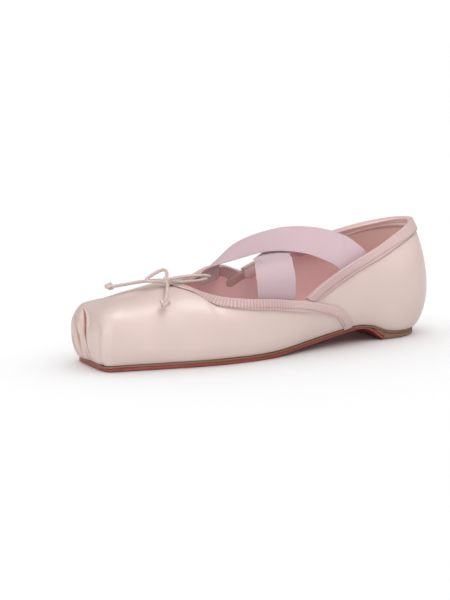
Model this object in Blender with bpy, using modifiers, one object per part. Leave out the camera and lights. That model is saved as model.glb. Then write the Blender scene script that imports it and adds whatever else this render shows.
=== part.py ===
"""Ballet flat, left shoe: square toe, crossed elastic straps, drawstring bow, very low heel.

The toe points to -Y, the heel to +Y, and the outer (lateral) side to +X.
Sizes below are in millimetres, and MM turns them into metres where a mesh is made.
A station is a place along the shoe's edge: it is the Y of that edge along the sides,
runs on past TOE_START to TOE_CENTRE round the toe, and past HEEL_START to HEEL_CENTRE
round the heel.
"""
import math

import bmesh
import bpy
from mathutils import Vector
from mathutils.bvhtree import BVHTree
from mathutils.interpolate import poly_3d_calc

MM = 0.001
LATERAL = 1
MEDIAL = -1

# Overall plan of the sole
TOE_FRONT_Y = -117.0
TOE_START = -106.0
TOE_CENTRE = -136.0
TOE_SQUARENESS = 7.5
HEEL_BACK_Y = 112.0
HEEL_START = 86.0
HEEL_CENTRE = 126.0
HEEL_SQUARENESS = 2.15

# Thicknesses and gaps
GAP = 0.3
WALL = 1.6
MIDSOLE_THICKNESS = 1.0
OUTSOLE_MOST = 1.9
INSOLE_THICKNESS = 2.1
INSOLE_INSET = 2.9
FEATHER_INSET = 1.2
SOLE_EDGE_CHAMFER = 0.25
BREAST_END_Y = 78.5
BREAST_STEPS = (0.2, 0.45)
HEEL_LIFT_START_Y = 71.5
FLAT_END = 1.5

# Binding tape and straps
TAPE_THICKNESS = 0.7
TAPE_WIDTH = 6.5
TAPE_GAP = 0.5
TAPE_RISE = TAPE_GAP + TAPE_THICKNESS / 2
DOWN_TAPE_RISE = TAPE_RISE + 0.25
TAPE_FOLD = 0.3
TAPE_FOLD_DROP = 0.45
NARROWEST_TAPE = 0.9
TAPE_POINT_GAP = 0.8
SHORTEST_START = 0.5
STRAP_THICKNESS = 0.9
STRAP_COLUMNS = 5
OVER_CROWN = 1.0
UNDER_CROWN = 0.4
STRAP_TUCK = 7.5
STRAP_ABOVE_EDGE = 1.2
STRAP_INSIDE = WALL + TAPE_GAP + TAPE_THICKNESS + 2 * GAP + STRAP_THICKNESS / 2

# Bow
CORD_RADIUS = 1.05
CORD_STEP = 2.6

# How the wall rises: share of the slant that lies below the widest height,
# how late along its rise a slanted rib moves along the shoe, how full its foot is,
# and the angles and the count of steps that its lower and upper points are taken at
LOW_SLANT = 0.29
SLANT_LATENESS = 1.5
LOW_FULLNESS = 1.1
LOW_ANGLES = (0, 30, 55, 75)
HIGH_STEPS = 7
MOST_UPRIGHT = 0.985
TOE_RIBS = 10
HEEL_RIBS = 7
LAP_STEP = 1.1

# Sole: half widths outside and inside, height of its underside and of its top
# columns: station, lateral, medial, underside, seat
SOLE = (
    (-136, 22.6, 19.3, 0.0, 3.1),
    (-117, 22.6, 19.3, 0.0, 3.1),
    (-102, 24.9, 23.2, 0.0, 3.2),
    (-91, 27.9, 27.2, 0.0, 3.2),
    (-78, 30.9, 31.2, 0.0, 3.2),
    (-61, 35.2, 35.8, 0.0, 3.2),
    (-45, 37.7, 37.2, 0.0, 3.2),
    (-28, 38.5, 36.0, 0.0, 3.2),
    (-16, 37.8, 33.2, 0.1, 3.3),
    (-2, 35.8, 29.3, 1.2, 4.2),
    (10, 32.9, 26.3, 2.7, 5.4),
    (24, 29.9, 24.0, 4.4, 7.0),
    (35, 28.2, 23.0, 6.0, 8.5),
    (44, 27.3, 22.8, 7.4, 9.8),
    (53, 26.6, 23.2, 8.6, 11.0),
    (60, 25.9, 23.8, 8.9, 10.9),
    (66, 25.4, 24.3, 8.0, 10.2),
    (71, 25.1, 24.6, 5.5, 9.2),
    (75, 25.0, 24.8, 2.4, 7.6),
    (78.5, 25.0, 24.9, 0.0, 6.2),
    (83, 25.0, 25.0, 0.0, 4.9),
    (92, 25.0, 25.0, 0.0, 4.1),
    (126, 25.0, 25.0, 0.0, 4.0),
)

# Wall of the upper: how far it bulges past the feather line, and at what height
# columns: station, bulge, height of the widest place
LATERAL_WALL = (
    (-136, 6.0, 17),
    (-124, 5.4, 17),
    (-118, 4.0, 17),
    (-106, 4.0, 16),
    (-61, 4.6, 14),
    (-28, 4.6, 13),
    (-2, 5.0, 15),
    (24, 5.8, 19),
    (51.4, 7.2, 23),
    (51.8, 6.3, 23),
    (66, 6.4, 27),
    (86, 7.0, 30),
    (106, 9.8, 31),
    (126, 12.6, 30),
)
MEDIAL_WALL = (
    (-136, 6.0, 17),
    (-124, 6.2, 17),
    (-118, 5.7, 17),
    (-106, 4.9, 16),
    (-61, 5.0, 15),
    (-28, 5.6, 15),
    (-2, 6.2, 18),
    (24, 6.8, 22),
    (44, 7.4, 25),
    (44.4, 6.5, 25),
    (66, 6.8, 29),
    (86, 7.0, 31),
    (106, 9.8, 31),
    (126, 12.6, 30),
)

# Top end of each rib: on the ridge ahead of the throat, then along the topline
# columns: station, x away from the middle, y, z
RIDGE = (
    (-136, 0, -93.0, 38.9),
    (-106, 0, -91.0, 39.2),
    (-90, 0, -84.0, 41.0),
    (-75, 0, -74.5, 42.5),
    (-62, 0, -65.0, 43.9),
    (-52, 0, -56.0, 43.6),
)
LATERAL_VAMP_TOP = RIDGE + (
    (-49.5, 9.0, -55.0, 43.2),
    (-47, 17.0, -51.0, 41.1),
    (-44, 24.0, -46.5, 39.4),
    (-40, 30.0, -41.0, 38.5),
    (-34, 34.5, -34.0, 38.0),
    (-24, 37.3, -24.0, 37.0),
    (-8, 37.8, -12.0, 35.8),
    (10, 37.2, -2.0, 34.2),
    (28, 36.4, 5.0, 33.0),
    (42, 35.8, 10.0, 32.2),
    (51.4, 35.3, 13.7, 31.8),
)
MEDIAL_VAMP_TOP = RIDGE + (
    (-49.5, 8.0, -54.0, 43.4),
    (-47, 14.5, -49.5, 43.2),
    (-44, 20.0, -43.5, 43.0),
    (-40, 24.5, -36.5, 43.2),
    (-34, 28.0, -29.0, 44.8),
    (-26, 30.3, -21.5, 46.6),
    (-14, 31.4, -14.5, 47.2),
    (2, 31.7, -8.5, 46.6),
    (18, 31.7, -3.5, 44.9),
    (32, 31.4, -0.2, 43.4),
    (44, 31.0, 2.2, 42.6),
)
LATERAL_QUARTER_TOP = (
    (51.8, 34.4, 14.1, 32.1),
    (54, 33.6, 18.0, 34.6),
    (58, 32.4, 25.0, 39.0),
    (64, 30.6, 36.0, 44.6),
    (72, 28.0, 50.0, 51.0),
    (80, 25.0, 64.0, 57.0),
    (86, 22.6, 74.5, 61.0),
    (94, 19.3, 85.5, 64.4),
    (102, 16.2, 95.5, 67.5),
    (110, 12.2, 105.0, 70.6),
    (118, 6.6, 112.3, 72.5),
    (126, 0.0, 115.2, 73.3),
)
MEDIAL_QUARTER_TOP = (
    (44.4, 30.2, 2.6, 42.9),
    (47, 29.8, 8.0, 45.4),
    (52, 29.2, 17.0, 49.0),
    (59, 28.3, 29.0, 53.0),
    (67, 27.0, 43.0, 57.3),
    (76, 25.0, 58.0, 61.3),
    (86, 22.0, 73.0, 65.4),
    (94, 19.3, 84.5, 68.2),
    (102, 16.2, 95.3, 70.3),
    (110, 12.2, 105.3, 72.0),
    (118, 6.6, 112.5, 73.0),
    (126, 0.0, 115.2, 73.3),
)

# Squareness of the wall's upper half and how freely its ribs slant along the shoe
# columns: station, squareness, slant
RIB_FORM = (
    (-136, 2.75, 0.0),
    (-106, 3.0, 0.0),
    (-60, 3.0, 0.0),
    (-34, 2.6, 1.0),
    (10, 2.3, 1.0),
    (60, 2.0, 1.0),
    (86, 2.0, 1.0),
    (106, 2.0, 0.0),
    (126, 2.0, 0.0),
)

# Rib stations on each side, denser where the throat turns and where the vamp laps over
FRONT_STATIONS = (-97, -88, -79, -70, -62, -56, -52, -50.7, -49.5, -48.2, -47, -45.5, -44,
                  -42, -40, -37, -34, -30, -26, -22, -17, -8, 1, 10, 19)
HEEL_SIDE_STATIONS = (57.5, 62, 67, 72, 76, 80, 86)
LATERAL_STATIONS = FRONT_STATIONS + (28, 36, 44, 51.4, 51.8, 52.7, 54) + HEEL_SIDE_STATIONS
MEDIAL_STATIONS = FRONT_STATIONS + (27, 35, 44, 44.4, 45.4, 47, 50.5, 54) + HEEL_SIDE_STATIONS
SOLE_STATIONS = (-97, -88, -79, -65, -50, -34, -17, -8, 1, 10, 19, 28, 36, 44, 51.4, 54
                 ) + HEEL_SIDE_STATIONS
THROAT_STATION = -52
LAP_STATION = {LATERAL: 51.4, MEDIAL: 44}
QUARTER_STATION = {LATERAL: 51.8, MEDIAL: 44.4}

# Elastic straps: pairs of edge points from the outer side to the inner side of the foot
# columns: rear edge x, y, z, front edge x, y, z
STRAP_OVER = (
    (18.5, 62.0, 63.6, 23.0, 35.0, 54.6),
    (11.5, 56.5, 68.6, 16.0, 25.5, 58.8),
    (3.0, 41.0, 73.2, 8.5, 16.5, 60.0),
    (-6.5, 26.0, 73.8, 0.0, 7.0, 59.6),
    (-13.0, 13.0, 71.2, -7.0, -2.5, 56.8),
    (-20.0, 1.0, 66.3, -11.5, -13.5, 53.4),
    (-25.5, -9.0, 59.0, -16.0, -24.0, 50.4),
)
STRAP_UNDER = (
    (33.0, 7.6, 47.0, 34.0, -20.8, 49.0),
    (26.5, 8.8, 55.8, 25.5, -17.8, 56.0),
    (19.0, 13.0, 58.4, 14.5, -12.0, 57.4),
    (12.0, 15.5, 57.6, 5.0, -7.5, 56.6),
    (4.0, 22.0, 60.5, -4.0, -2.5, 54.8),
    (-5.0, 33.0, 65.0, -10.0, 9.0, 58.0),
    (-14.0, 46.0, 67.5, -15.0, 22.0, 61.5),
    (-21.0, 57.0, 66.0, -21.0, 33.0, 62.0),
)
# Where the straps meet the wall: Y of the rear and the front edge at the topline
OVER_LATERAL_Y = (67.0, 43.5)
OVER_MEDIAL_Y = (-13.5, -31.0)
UNDER_LATERAL_Y = (7.0, -20.5)
UNDER_MEDIAL_Y = (65.0, 42.0)

# Bow: centre and half sizes of its knots, and the route of each cord
BOW_KNOT = ((2.0, -66.2, 47.4), (2.9, 2.6, 2.7))
LEFT_END_KNOT = ((-12.0, -97.6, 44.9), (2.6, 2.9, 2.3))
FRONT_END_KNOT = ((29.3, -81.0, 39.7), (2.7, 2.7, 2.8))
REAR_LOOP = ((4.9, -64.3, 49.1), (6.6, -58.0, 49.6), (6.6, -47.0, 49.3), (5.0, -39.0, 48.3),
             (2.7, -36.8, 47.5), (0.9, -39.2, 47.0), (1.6, -47.0, 47.2), (2.6, -57.0, 47.4),
             (2.4, -62.9, 47.5))
FRONT_LOOP = ((0.7, -65.3, 50.6), (-0.6, -64.3, 53.2), (-2.4, -65.6, 54.0), (-3.3, -68.9, 52.9),
              (-3.5, -72.8, 51.1), (-2.7, -77.2, 49.0), (-0.8, -78.6, 48.2), (0.8, -75.6, 47.8),
              (1.9, -69.5, 47.6))
LEFT_END = ((-0.9, -67.4, 47.6), (-5.0, -72.0, 47.2), (-7.6, -80.0, 46.7), (-9.6, -88.0, 45.6),
            (-11.3, -94.3, 44.8))
FRONT_END = ((4.9, -67.6, 47.7), (8.6, -69.0, 47.3), (12.6, -70.8, 46.5), (17.6, -73.4, 45.2),
             (21.5, -75.7, 43.9), (24.6, -77.6, 42.5), (26.9, -79.3, 41.2))

# Colours, roughness and metallic value of each piece
LOOKS = {
    "satin": ((0.79, 0.64, 0.60, 1), 0.38, 0.0),
    "tape": ((0.68, 0.48, 0.46, 1), 0.65, 0.0),
    "elastic": ((0.68, 0.51, 0.56, 1), 0.6, 0.0),
    "lining": ((0.44, 0.21, 0.20, 1), 0.6, 0.0),
    "sole_leather": ((0.33, 0.06, 0.04, 1), 0.35, 0.0),
    "edge_leather": ((0.22, 0.12, 0.06, 1), 0.5, 0.0),
    "cord": ((0.72, 0.55, 0.52, 1), 0.6, 0.0),
}


# Smooth curves

def column(rows, index):
    """One named column of a table."""
    return [row[index] for row in rows]


def slopes(xs, ys):
    """Slopes that keep a curve through the points from overshooting them."""
    steps = [(ys[i + 1] - ys[i]) / (xs[i + 1] - xs[i]) for i in range(len(xs) - 1)]
    result = [steps[0]]
    for before, after in zip(steps, steps[1:]):
        same_way = before * after > 0
        result.append(2 * before * after / (before + after) if same_way else 0.0)
    result.append(steps[-1])
    return result


def read_table(rows, index, x):
    """Value of one column at x, by a smooth curve through the table's rows."""
    xs = column(rows, 0)
    ys = column(rows, index)
    if x <= xs[0]:
        return ys[0]
    if x >= xs[-1]:
        return ys[-1]
    tangents = slopes(xs, ys)
    i = max(k for k in range(len(xs) - 1) if xs[k] <= x)
    width = xs[i + 1] - xs[i]
    t = (x - xs[i]) / width
    start = (1 + 2 * t) * (1 - t) ** 2 * ys[i] + t * (1 - t) ** 2 * width * tangents[i]
    end = t * t * (3 - 2 * t) * ys[i + 1] + t * t * (t - 1) * width * tangents[i + 1]
    return start + end


def curve_through(points, step):
    """Points about one step apart on a smooth curve through the given points."""
    ends = [points[0] * 2 - points[1], points[-1] * 2 - points[-2]]
    guided = [ends[0]] + list(points) + [ends[1]]
    result = []
    for a, b, c, d in zip(guided, guided[1:], guided[2:], guided[3:]):
        count = max(1, round((c - b).length / step))
        for k in range(count):
            t = k / count
            result.append(0.5 * (2 * b + (c - a) * t + (2 * a - 5 * b + 4 * c - d) * t * t
                                 + (3 * b - a - 3 * c + d) * t ** 3))
    return result + [points[-1]]


# Plan of the sole

def corner(angle, squareness):
    """Point of a rounded square quarter at this angle from the side."""
    cosine = math.cos(angle)
    sine = math.sin(angle)
    reach = (abs(cosine) ** squareness + abs(sine) ** squareness) ** (-1 / squareness)
    return reach * cosine, reach * sine


def edge_y(station, inset=0.0):
    """Y of the sole's edge at a station."""
    if station < TOE_START:
        angle = math.pi / 2 * (TOE_START - station) / (TOE_START - TOE_CENTRE)
        depth = TOE_START - TOE_FRONT_Y - inset
        return TOE_START - depth * corner(angle, TOE_SQUARENESS)[1]
    if station > HEEL_START:
        angle = math.pi / 2 * (station - HEEL_START) / (HEEL_CENTRE - HEEL_START)
        depth = HEEL_BACK_Y - HEEL_START - inset
        return HEEL_START + depth * corner(angle, HEEL_SQUARENESS)[1]
    return station


def edge_x(side, station, inset=0.0):
    """X of the sole's edge at a station."""
    across = 1.0
    if station < TOE_START:
        angle = math.pi / 2 * (TOE_START - station) / (TOE_START - TOE_CENTRE)
        across = corner(angle, TOE_SQUARENESS)[0]
    if station > HEEL_START:
        angle = math.pi / 2 * (station - HEEL_START) / (HEEL_CENTRE - HEEL_START)
        across = corner(angle, HEEL_SQUARENESS)[0]
    half = read_table(SOLE, 1 if side == LATERAL else 2, edge_y(station))
    return side * (half - inset) * across


def edge_point(side, station, inset=0.0):
    """Point of the sole's edge in plan."""
    return Vector((edge_x(side, station, inset), edge_y(station, inset), 0))


def edge_normal(side, station):
    """Direction in plan that points out of the shoe."""
    if station <= TOE_CENTRE + 0.01:
        return Vector((0, -1, 0))
    if station >= HEEL_CENTRE - 0.01:
        return Vector((0, 1, 0))
    along = edge_point(side, station + 0.5) - edge_point(side, station - 0.5)
    return Vector((side * along.y, -side * along.x, 0)).normalized()


def underside(y):
    """Height of the sole's underside."""
    return read_table(SOLE, 3, y)


def seat(y):
    """Height of the sole's top, that the upper and the insole rest on."""
    return read_table(SOLE, 4, y)


# Last: the outer surface of the upper

def top_rows(side, station):
    """Table of rib tops that holds this station."""
    if station <= THROAT_STATION:
        return RIDGE
    on_vamp = station <= LAP_STATION[side] + 0.01
    if side == LATERAL:
        return LATERAL_VAMP_TOP if on_vamp else LATERAL_QUARTER_TOP
    return MEDIAL_VAMP_TOP if on_vamp else MEDIAL_QUARTER_TOP


def rib_top(side, station):
    """Upper end of the rib that starts at this station."""
    rows = top_rows(side, station)
    x = side * read_table(rows, 1, station)
    return Vector((x, read_table(rows, 2, station), read_table(rows, 3, station)))


def rib_widest(side, station):
    """Widest point of a rib, and the outward direction there."""
    wall = LATERAL_WALL if side == LATERAL else MEDIAL_WALL
    slant = read_table(RIB_FORM, 2, station)
    moved = LOW_SLANT * slant * (rib_top(side, station).y - edge_y(station))
    place = station + moved
    outward = edge_normal(side, place)
    bulge = read_table(wall, 1, station) - FEATHER_INSET
    point = edge_point(side, place) + outward * bulge
    point.z = read_table(wall, 2, station)
    return point, outward


def split(vector, outward):
    """Parts of a plan vector across and along the shoe's edge."""
    flat = Vector((vector.x, vector.y, 0))
    across = outward * flat.dot(outward)
    return across, flat - across


def rib_points(side, station):
    """Points up one rib, from the feather line to the ridge or the topline."""
    foot = edge_point(side, station, FEATHER_INSET)
    foot.z = seat(foot.y) + GAP
    widest, outward = rib_widest(side, station)
    top = rib_top(side, station)
    points = []
    across, along = split(widest - foot, outward)
    for degrees in LOW_ANGLES:
        angle = math.radians(degrees)
        rise = 1 - math.cos(angle)
        point = foot + across * math.sin(angle) ** LOW_FULLNESS + along * rise
        point.z = foot.z + (widest.z - foot.z) * rise
        points.append(point)

    squareness = read_table(RIB_FORM, 1, station)
    slant = read_table(RIB_FORM, 2, station)
    across, along = split(top - widest, outward)
    middle = Vector((0, min(max(widest.y, RIDGE[0][2]), HEEL_START), 0))
    reach = (Vector((widest.x, widest.y, 0)) - middle).length
    inward = (top - widest).dot(outward) if slant > 0 or station > 0 else 0
    ratio = 1 + inward / reach if station > THROAT_STATION else 0.0
    if station > THROAT_STATION:
        ratio = min(max(ratio, 0.0), MOST_UPRIGHT)
    last = math.atan2((1 - ratio ** squareness) ** (1 / squareness), ratio)
    last_across, last_rise = corner(last, squareness)
    for k in range(HIGH_STEPS + 1):
        x, z = corner(last * k / HIGH_STEPS, squareness)
        lean = (1 - x) / (1 - last_across)
        rise = z / last_rise
        along_share = (1 - slant) * lean + slant * rise ** SLANT_LATENESS
        point = widest + across * lean + along * along_share
        point.z = widest.z + (top.z - widest.z) * rise
        points.append(point)
    return points


def rib_stations(side):
    """Stations of every rib on one side, from the toe's middle to the heel's."""
    return round_the_ends(LATERAL_STATIONS if side == LATERAL else MEDIAL_STATIONS)


def round_the_ends(stations):
    """Stations along the side, with even ones added round the toe and the heel."""
    toe_step = (TOE_START - TOE_CENTRE) / TOE_RIBS
    heel_step = (HEEL_CENTRE - HEEL_START) / HEEL_RIBS
    toe = [TOE_CENTRE + toe_step * k for k in range(TOE_RIBS + 1)]
    heel = [HEEL_START + heel_step * k for k in range(1, HEEL_RIBS + 1)]
    return toe + list(stations) + heel


# Objects and materials

def material(name):
    """Plain material with one of the looks above."""
    colour, roughness, metallic = LOOKS[name]
    made = bpy.data.materials.get(name) or bpy.data.materials.new(name)
    made.use_nodes = True
    surface = made.node_tree.nodes["Principled BSDF"]
    surface.inputs["Base Color"].default_value = colour
    surface.inputs["Roughness"].default_value = roughness
    surface.inputs["Metallic"].default_value = metallic
    return made


def add_object(name, data, look, collection):
    """Put mesh or curve data into the scene as a named piece."""
    data.materials.append(material(look))
    piece = bpy.data.objects.new(name, data)
    collection.objects.link(piece)
    return piece


def finish_mesh(shape, name):
    """Turn a bmesh into smooth-shaded mesh data with its faces pointing out."""
    bmesh.ops.remove_doubles(shape, verts=shape.verts, dist=1e-6)
    bmesh.ops.recalc_face_normals(shape, faces=shape.faces)
    data = bpy.data.meshes.new(name)
    shape.to_mesh(data)
    shape.free()
    data.shade_smooth()
    data.set_sharp_from_angle(angle=math.radians(40))
    return data


def thicken(piece, thickness, offset):
    """Give an open surface its thickness."""
    solid = piece.modifiers.new("thickness", "SOLIDIFY")
    solid.thickness = thickness * MM
    solid.offset = offset
    solid.use_even_offset = True


def grid_faces(shape, rows):
    """Faces between neighbouring rows of vertices, left out where a vertex is missing."""
    for first, second in zip(rows, rows[1:]):
        for i in range(len(first) - 1):
            corners = (first[i], first[i + 1], second[i + 1], second[i])
            if None not in corners:
                shape.faces.new(corners)


def slab(name, look, collection, ends, low, high, inset=0.0, chamfer=SOLE_EDGE_CHAMFER, steps=()):
    """Layer of the sole between two heights, along the stations between two ends."""
    stations = sorted(round_the_ends(SOLE_STATIONS) + list(steps))
    inner = [s for s in stations if ends[0] < s < ends[1]]
    shape = bmesh.new()
    previous = None
    for station in [ends[0]] + inner + [ends[1]]:
        y = edge_y(station, inset)
        left = edge_x(LATERAL, station, inset)
        right = edge_x(MEDIAL, station, inset)
        bottom = low(y)
        top = high(y)
        cut = chamfer * (top - bottom)
        outline = ((right + cut, bottom), (left - cut, bottom), (left, bottom + cut), (left, top - cut),
                   (left - cut, top), (right + cut, top), (right, top - cut), (right, bottom + cut))
        if chamfer == 0:
            outline = outline[::2]
        ring = [shape.verts.new((x * MM, y * MM, z * MM)) for x, z in outline]
        if previous is None:
            shape.faces.new(ring)
        else:
            for i in range(len(ring)):
                j = (i + 1) % len(ring)
                shape.faces.new((previous[i], previous[j], ring[j], ring[i]))
        previous = ring
    shape.faces.new(previous)
    return add_object(name, finish_mesh(shape, name), look, collection)


# Sole pieces

def outsole_top(y):
    """Height of the outsole's upper face, thinner along the heel's breast."""
    return min(seat(y) - MIDSOLE_THICKNESS - GAP, underside(y) + OUTSOLE_MOST)


def make_sole(collection):
    """Outsole, the leather layer above it, and the low heel lift."""
    start = TOE_CENTRE + FLAT_END
    end = HEEL_CENTRE - FLAT_END
    slab("outsole", "sole_leather", collection, (start, BREAST_END_Y), underside, outsole_top)
    slab("midsole", "edge_leather", collection, (start, end),
         lambda y: seat(y) - MIDSOLE_THICKNESS, seat)
    slab("heel_lift", "edge_leather", collection, (HEEL_LIFT_START_Y, end),
         lambda y: outsole_top(y) + 1.5 * GAP if y < BREAST_END_Y + GAP else 0.0,
         lambda y: seat(y) - MIDSOLE_THICKNESS - GAP,
         steps=[BREAST_END_Y + step for step in BREAST_STEPS])


def make_insole(collection):
    """Insole, lying on the leather layer inside the wall."""
    ends = (TOE_CENTRE + FLAT_END, HEEL_CENTRE - FLAT_END)
    slab("insole", "lining", collection, ends, lambda y: seat(y) + GAP,
         lambda y: seat(y) + GAP + INSOLE_THICKNESS, inset=INSOLE_INSET, chamfer=0)


# Upper

def upper_skin():
    """Open outer surface of the upper, as a bmesh with its faces pointing out."""
    shape = bmesh.new()
    for side in (LATERAL, MEDIAL):
        rows = []
        for station in rib_stations(side):
            rows.append([shape.verts.new(point * MM) for point in rib_points(side, station)])
        grid_faces(shape, rows)
    bmesh.ops.remove_doubles(shape, verts=shape.verts, dist=1e-6)
    bmesh.ops.recalc_face_normals(shape, faces=shape.faces)
    lowest = min(shape.faces, key=lambda face: face.calc_center_median().y)
    if lowest.normal.y > 0:
        bmesh.ops.reverse_faces(shape, faces=shape.faces)
    shape.normal_update()
    return shape


def make_upper(collection):
    """Hollow upper, open at the collar and underneath, with a step where the vamp laps."""
    skin = upper_skin()
    data = bpy.data.meshes.new("upper")
    skin.to_mesh(data)
    skin.free()
    data.shade_smooth()
    piece = add_object("upper", data, "satin", collection)
    thicken(piece, WALL, -1)
    return piece


class Skin:
    """The upper's outer surface, to lay tapes and straps on."""

    def __init__(self):
        self.shape = upper_skin()
        self.shape.faces.ensure_lookup_table()
        self.tree = BVHTree.FromBMesh(self.shape)

    def snap(self, point):
        """Nearest place on the surface and its smooth normal; point is in mm."""
        place, flat, index, distance = self.tree.find_nearest(point * MM)
        corners = self.shape.faces[index].verts
        weights = poly_3d_calc([vert.co for vert in corners], place)
        normal = Vector((0, 0, 0))
        for weight, vert in zip(weights, corners):
            normal += vert.normal * weight
        return place / MM, normal.normalized()

    def off(self, point, height):
        """Point at this height above the surface, below it where negative."""
        place, normal = self.snap(point)
        return place + normal * height


# Bindings

def edge_frames(skin, path, turn):
    """Along a path on the surface: point, normal, and the direction away from the opening."""
    frames = []
    for i, point in enumerate(path):
        along = (path[min(i + 1, len(path) - 1)] - path[max(i - 1, 0)]).normalized()
        place, normal = skin.snap(point)
        inward = along.cross(normal).normalized() * turn
        frames.append((point, normal, inward))
    return frames


def tape_column(skin, frame, width, folded):
    """Section of a binding tape: its outer leaf and, where folded, over the edge and inside."""
    point, normal, inward = frame
    rise = TAPE_RISE if folded else DOWN_TAPE_RISE
    outer = [skin.off(point + inward * width * share, rise) for share in (1, 0.5)]
    if not folded:
        return outer + [point + normal * rise] + [None] * 5
    below = -WALL - TAPE_RISE
    fold = [point + normal * TAPE_RISE - inward * TAPE_FOLD,
            point + normal * (TAPE_RISE - TAPE_FOLD_DROP) - inward * TAPE_RISE,
            point + normal * (below + TAPE_FOLD_DROP) - inward * TAPE_RISE,
            point + normal * below - inward * TAPE_FOLD]
    deeper = LAP_STEP if width < TAPE_WIDTH else 0.0
    inner = [skin.off(point + inward * TAPE_WIDTH * share, below - deeper) for share in (0.5, 1)]
    return outer + fold + inner


def make_tape(name, skin, collection, path, turn, widths, folded):
    """Binding tape along a path, as an open surface with thickness."""
    shape = bmesh.new()
    rows = []
    for frame, width, fold in zip(edge_frames(skin, path, turn), widths, folded):
        points = tape_column(skin, frame, width, fold)
        rows.append([None if p is None else shape.verts.new(p * MM) for p in points])
    grid_faces(shape, rows)
    for vert in [v for v in shape.verts if not v.link_faces]:
        shape.verts.remove(vert)
    piece = add_object(name, finish_mesh(shape, name), "tape", collection)
    thicken(piece, TAPE_THICKNESS, 0)
    return piece


def down_edge(side):
    """Rear edge of the vamp, from just below the topline down to the sole."""
    points = rib_points(side, LAP_STATION[side])
    return list(reversed(points))[1:-1]


def make_vamp_tape(skin, collection):
    """Tape round the throat that also runs down the vamp's rear edges."""
    half = {}
    for side in (LATERAL, MEDIAL):
        stations = [s for s in rib_stations(side) if THROAT_STATION <= s <= LAP_STATION[side]]
        half[side] = [rib_top(side, s) for s in stations]
    top_path = list(reversed(half[MEDIAL])) + half[LATERAL][1:]
    down = {side: down_edge(side) for side in (LATERAL, MEDIAL)}
    path = list(reversed(down[MEDIAL])) + top_path + down[LATERAL]
    folded = [False] * len(down[MEDIAL]) + [True] * len(top_path) + [False] * len(down[LATERAL])
    make_tape("vamp_tape", skin, collection, path, 1, [TAPE_WIDTH] * len(path), folded)


def make_quarter_tape(skin, collection):
    """Tape round the collar, narrowing to a point where it runs under the vamp."""
    path = []
    widths = []
    for side in (MEDIAL, LATERAL):
        stations = [s for s in rib_stations(side) if s > QUARTER_STATION[side] + SHORTEST_START]
        tops = [rib_top(side, s) for s in stations]
        start = rib_top(side, QUARTER_STATION[side])
        spans = [(top - start).length for top in tops]
        limits = [min(TAPE_WIDTH, max(NARROWEST_TAPE, span - TAPE_POINT_GAP)) for span in spans]
        if side == MEDIAL:
            path += tops
            widths += limits
        else:
            path += list(reversed(tops))[1:]
            widths += list(reversed(limits))[1:]
    make_tape("quarter_tape", skin, collection, path, -1, widths, [True] * len(path))


# Straps

def station_at(side, y, rear):
    """Station whose rib top lies at this Y, on the quarter or on the vamp."""
    low = QUARTER_STATION[side] if rear else THROAT_STATION
    high = HEEL_CENTRE if rear else LAP_STATION[side]
    for _ in range(40):
        middle = (low + high) / 2
        if rib_top(side, middle).y < y:
            low = middle
        else:
            high = middle
    return (low + high) / 2


def tucked_end(skin, side, ys, rear):
    """Two pairs of edge points inside the wall: low down and at the topline."""
    low = []
    high = []
    for y in ys:
        top = rib_top(side, station_at(side, y, rear))
        outward = skin.snap(top)[1]
        outward.z = 0
        inside = top - outward.normalized() * STRAP_INSIDE
        low.append(inside - Vector((0, 0, STRAP_TUCK)))
        high.append(inside + Vector((0, 0, STRAP_ABOVE_EDGE)))
    return low, high


def make_strap(name, skin, collection, pairs, crown, lateral, medial):
    """Elastic strap from inside one wall, over the foot, to inside the other wall."""
    low_out, high_out = tucked_end(skin, LATERAL, *lateral)
    low_in, high_in = tucked_end(skin, MEDIAL, *medial)
    rear = [low_out[0], high_out[0]] + [Vector(p[:3]) for p in pairs] + [high_in[0], low_in[0]]
    front = [low_out[1], high_out[1]] + [Vector(p[3:]) for p in pairs] + [high_in[1], low_in[1]]
    shape = bmesh.new()
    rows = []
    count = 2 * (len(rear) - 1)
    for k in range(count + 1):
        share = k / count
        free = math.sin(math.pi * share)
        row = []
        for i in range(STRAP_COLUMNS):
            t = i / (STRAP_COLUMNS - 1)
            lift = Vector((0, 0, crown * free * 4 * t * (1 - t)))
            point = point_on(rear, share).lerp(point_on(front, share), t) + lift
            row.append(shape.verts.new(point * MM))
        rows.append(row)
    grid_faces(shape, rows)
    piece = add_object(name, finish_mesh(shape, name), "elastic", collection)
    thicken(piece, STRAP_THICKNESS, 0)


def point_on(points, share):
    """Point at this share of the way along a smooth curve through the points."""
    place = share * (len(points) - 1)
    i = min(int(place), len(points) - 2)
    t = place - i
    b = points[i]
    c = points[i + 1]
    a = points[i - 1] if i > 0 else b * 2 - c
    d = points[i + 2] if i + 2 < len(points) else c * 2 - b
    return 0.5 * (2 * b + (c - a) * t + (2 * a - 5 * b + 4 * c - d) * t * t
                  + (3 * b - a - 3 * c + d) * t ** 3)


# Bow

def make_cord(name, collection, route):
    """Plain tube along a smooth route."""
    data = bpy.data.curves.new(name, "CURVE")
    data.dimensions = "3D"
    data.bevel_depth = CORD_RADIUS * MM
    data.bevel_resolution = 2
    data.use_fill_caps = True
    points = curve_through([Vector(p) for p in route], CORD_STEP)
    spline = data.splines.new("POLY")
    spline.points.add(len(points) - 1)
    for target, point in zip(spline.points, points):
        target.co = (*(point * MM), 1)
    return add_object(name, data, "cord", collection)


def make_knot(name, collection, knot):
    """Small rounded knot."""
    centre, half_sizes = knot
    shape = bmesh.new()
    bmesh.ops.create_uvsphere(shape, u_segments=10, v_segments=6, radius=1)
    bmesh.ops.scale(shape, verts=shape.verts, vec=Vector(half_sizes) * MM)
    bmesh.ops.translate(shape, verts=shape.verts, vec=Vector(centre) * MM)
    return add_object(name, finish_mesh(shape, name), "cord", collection)


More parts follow.
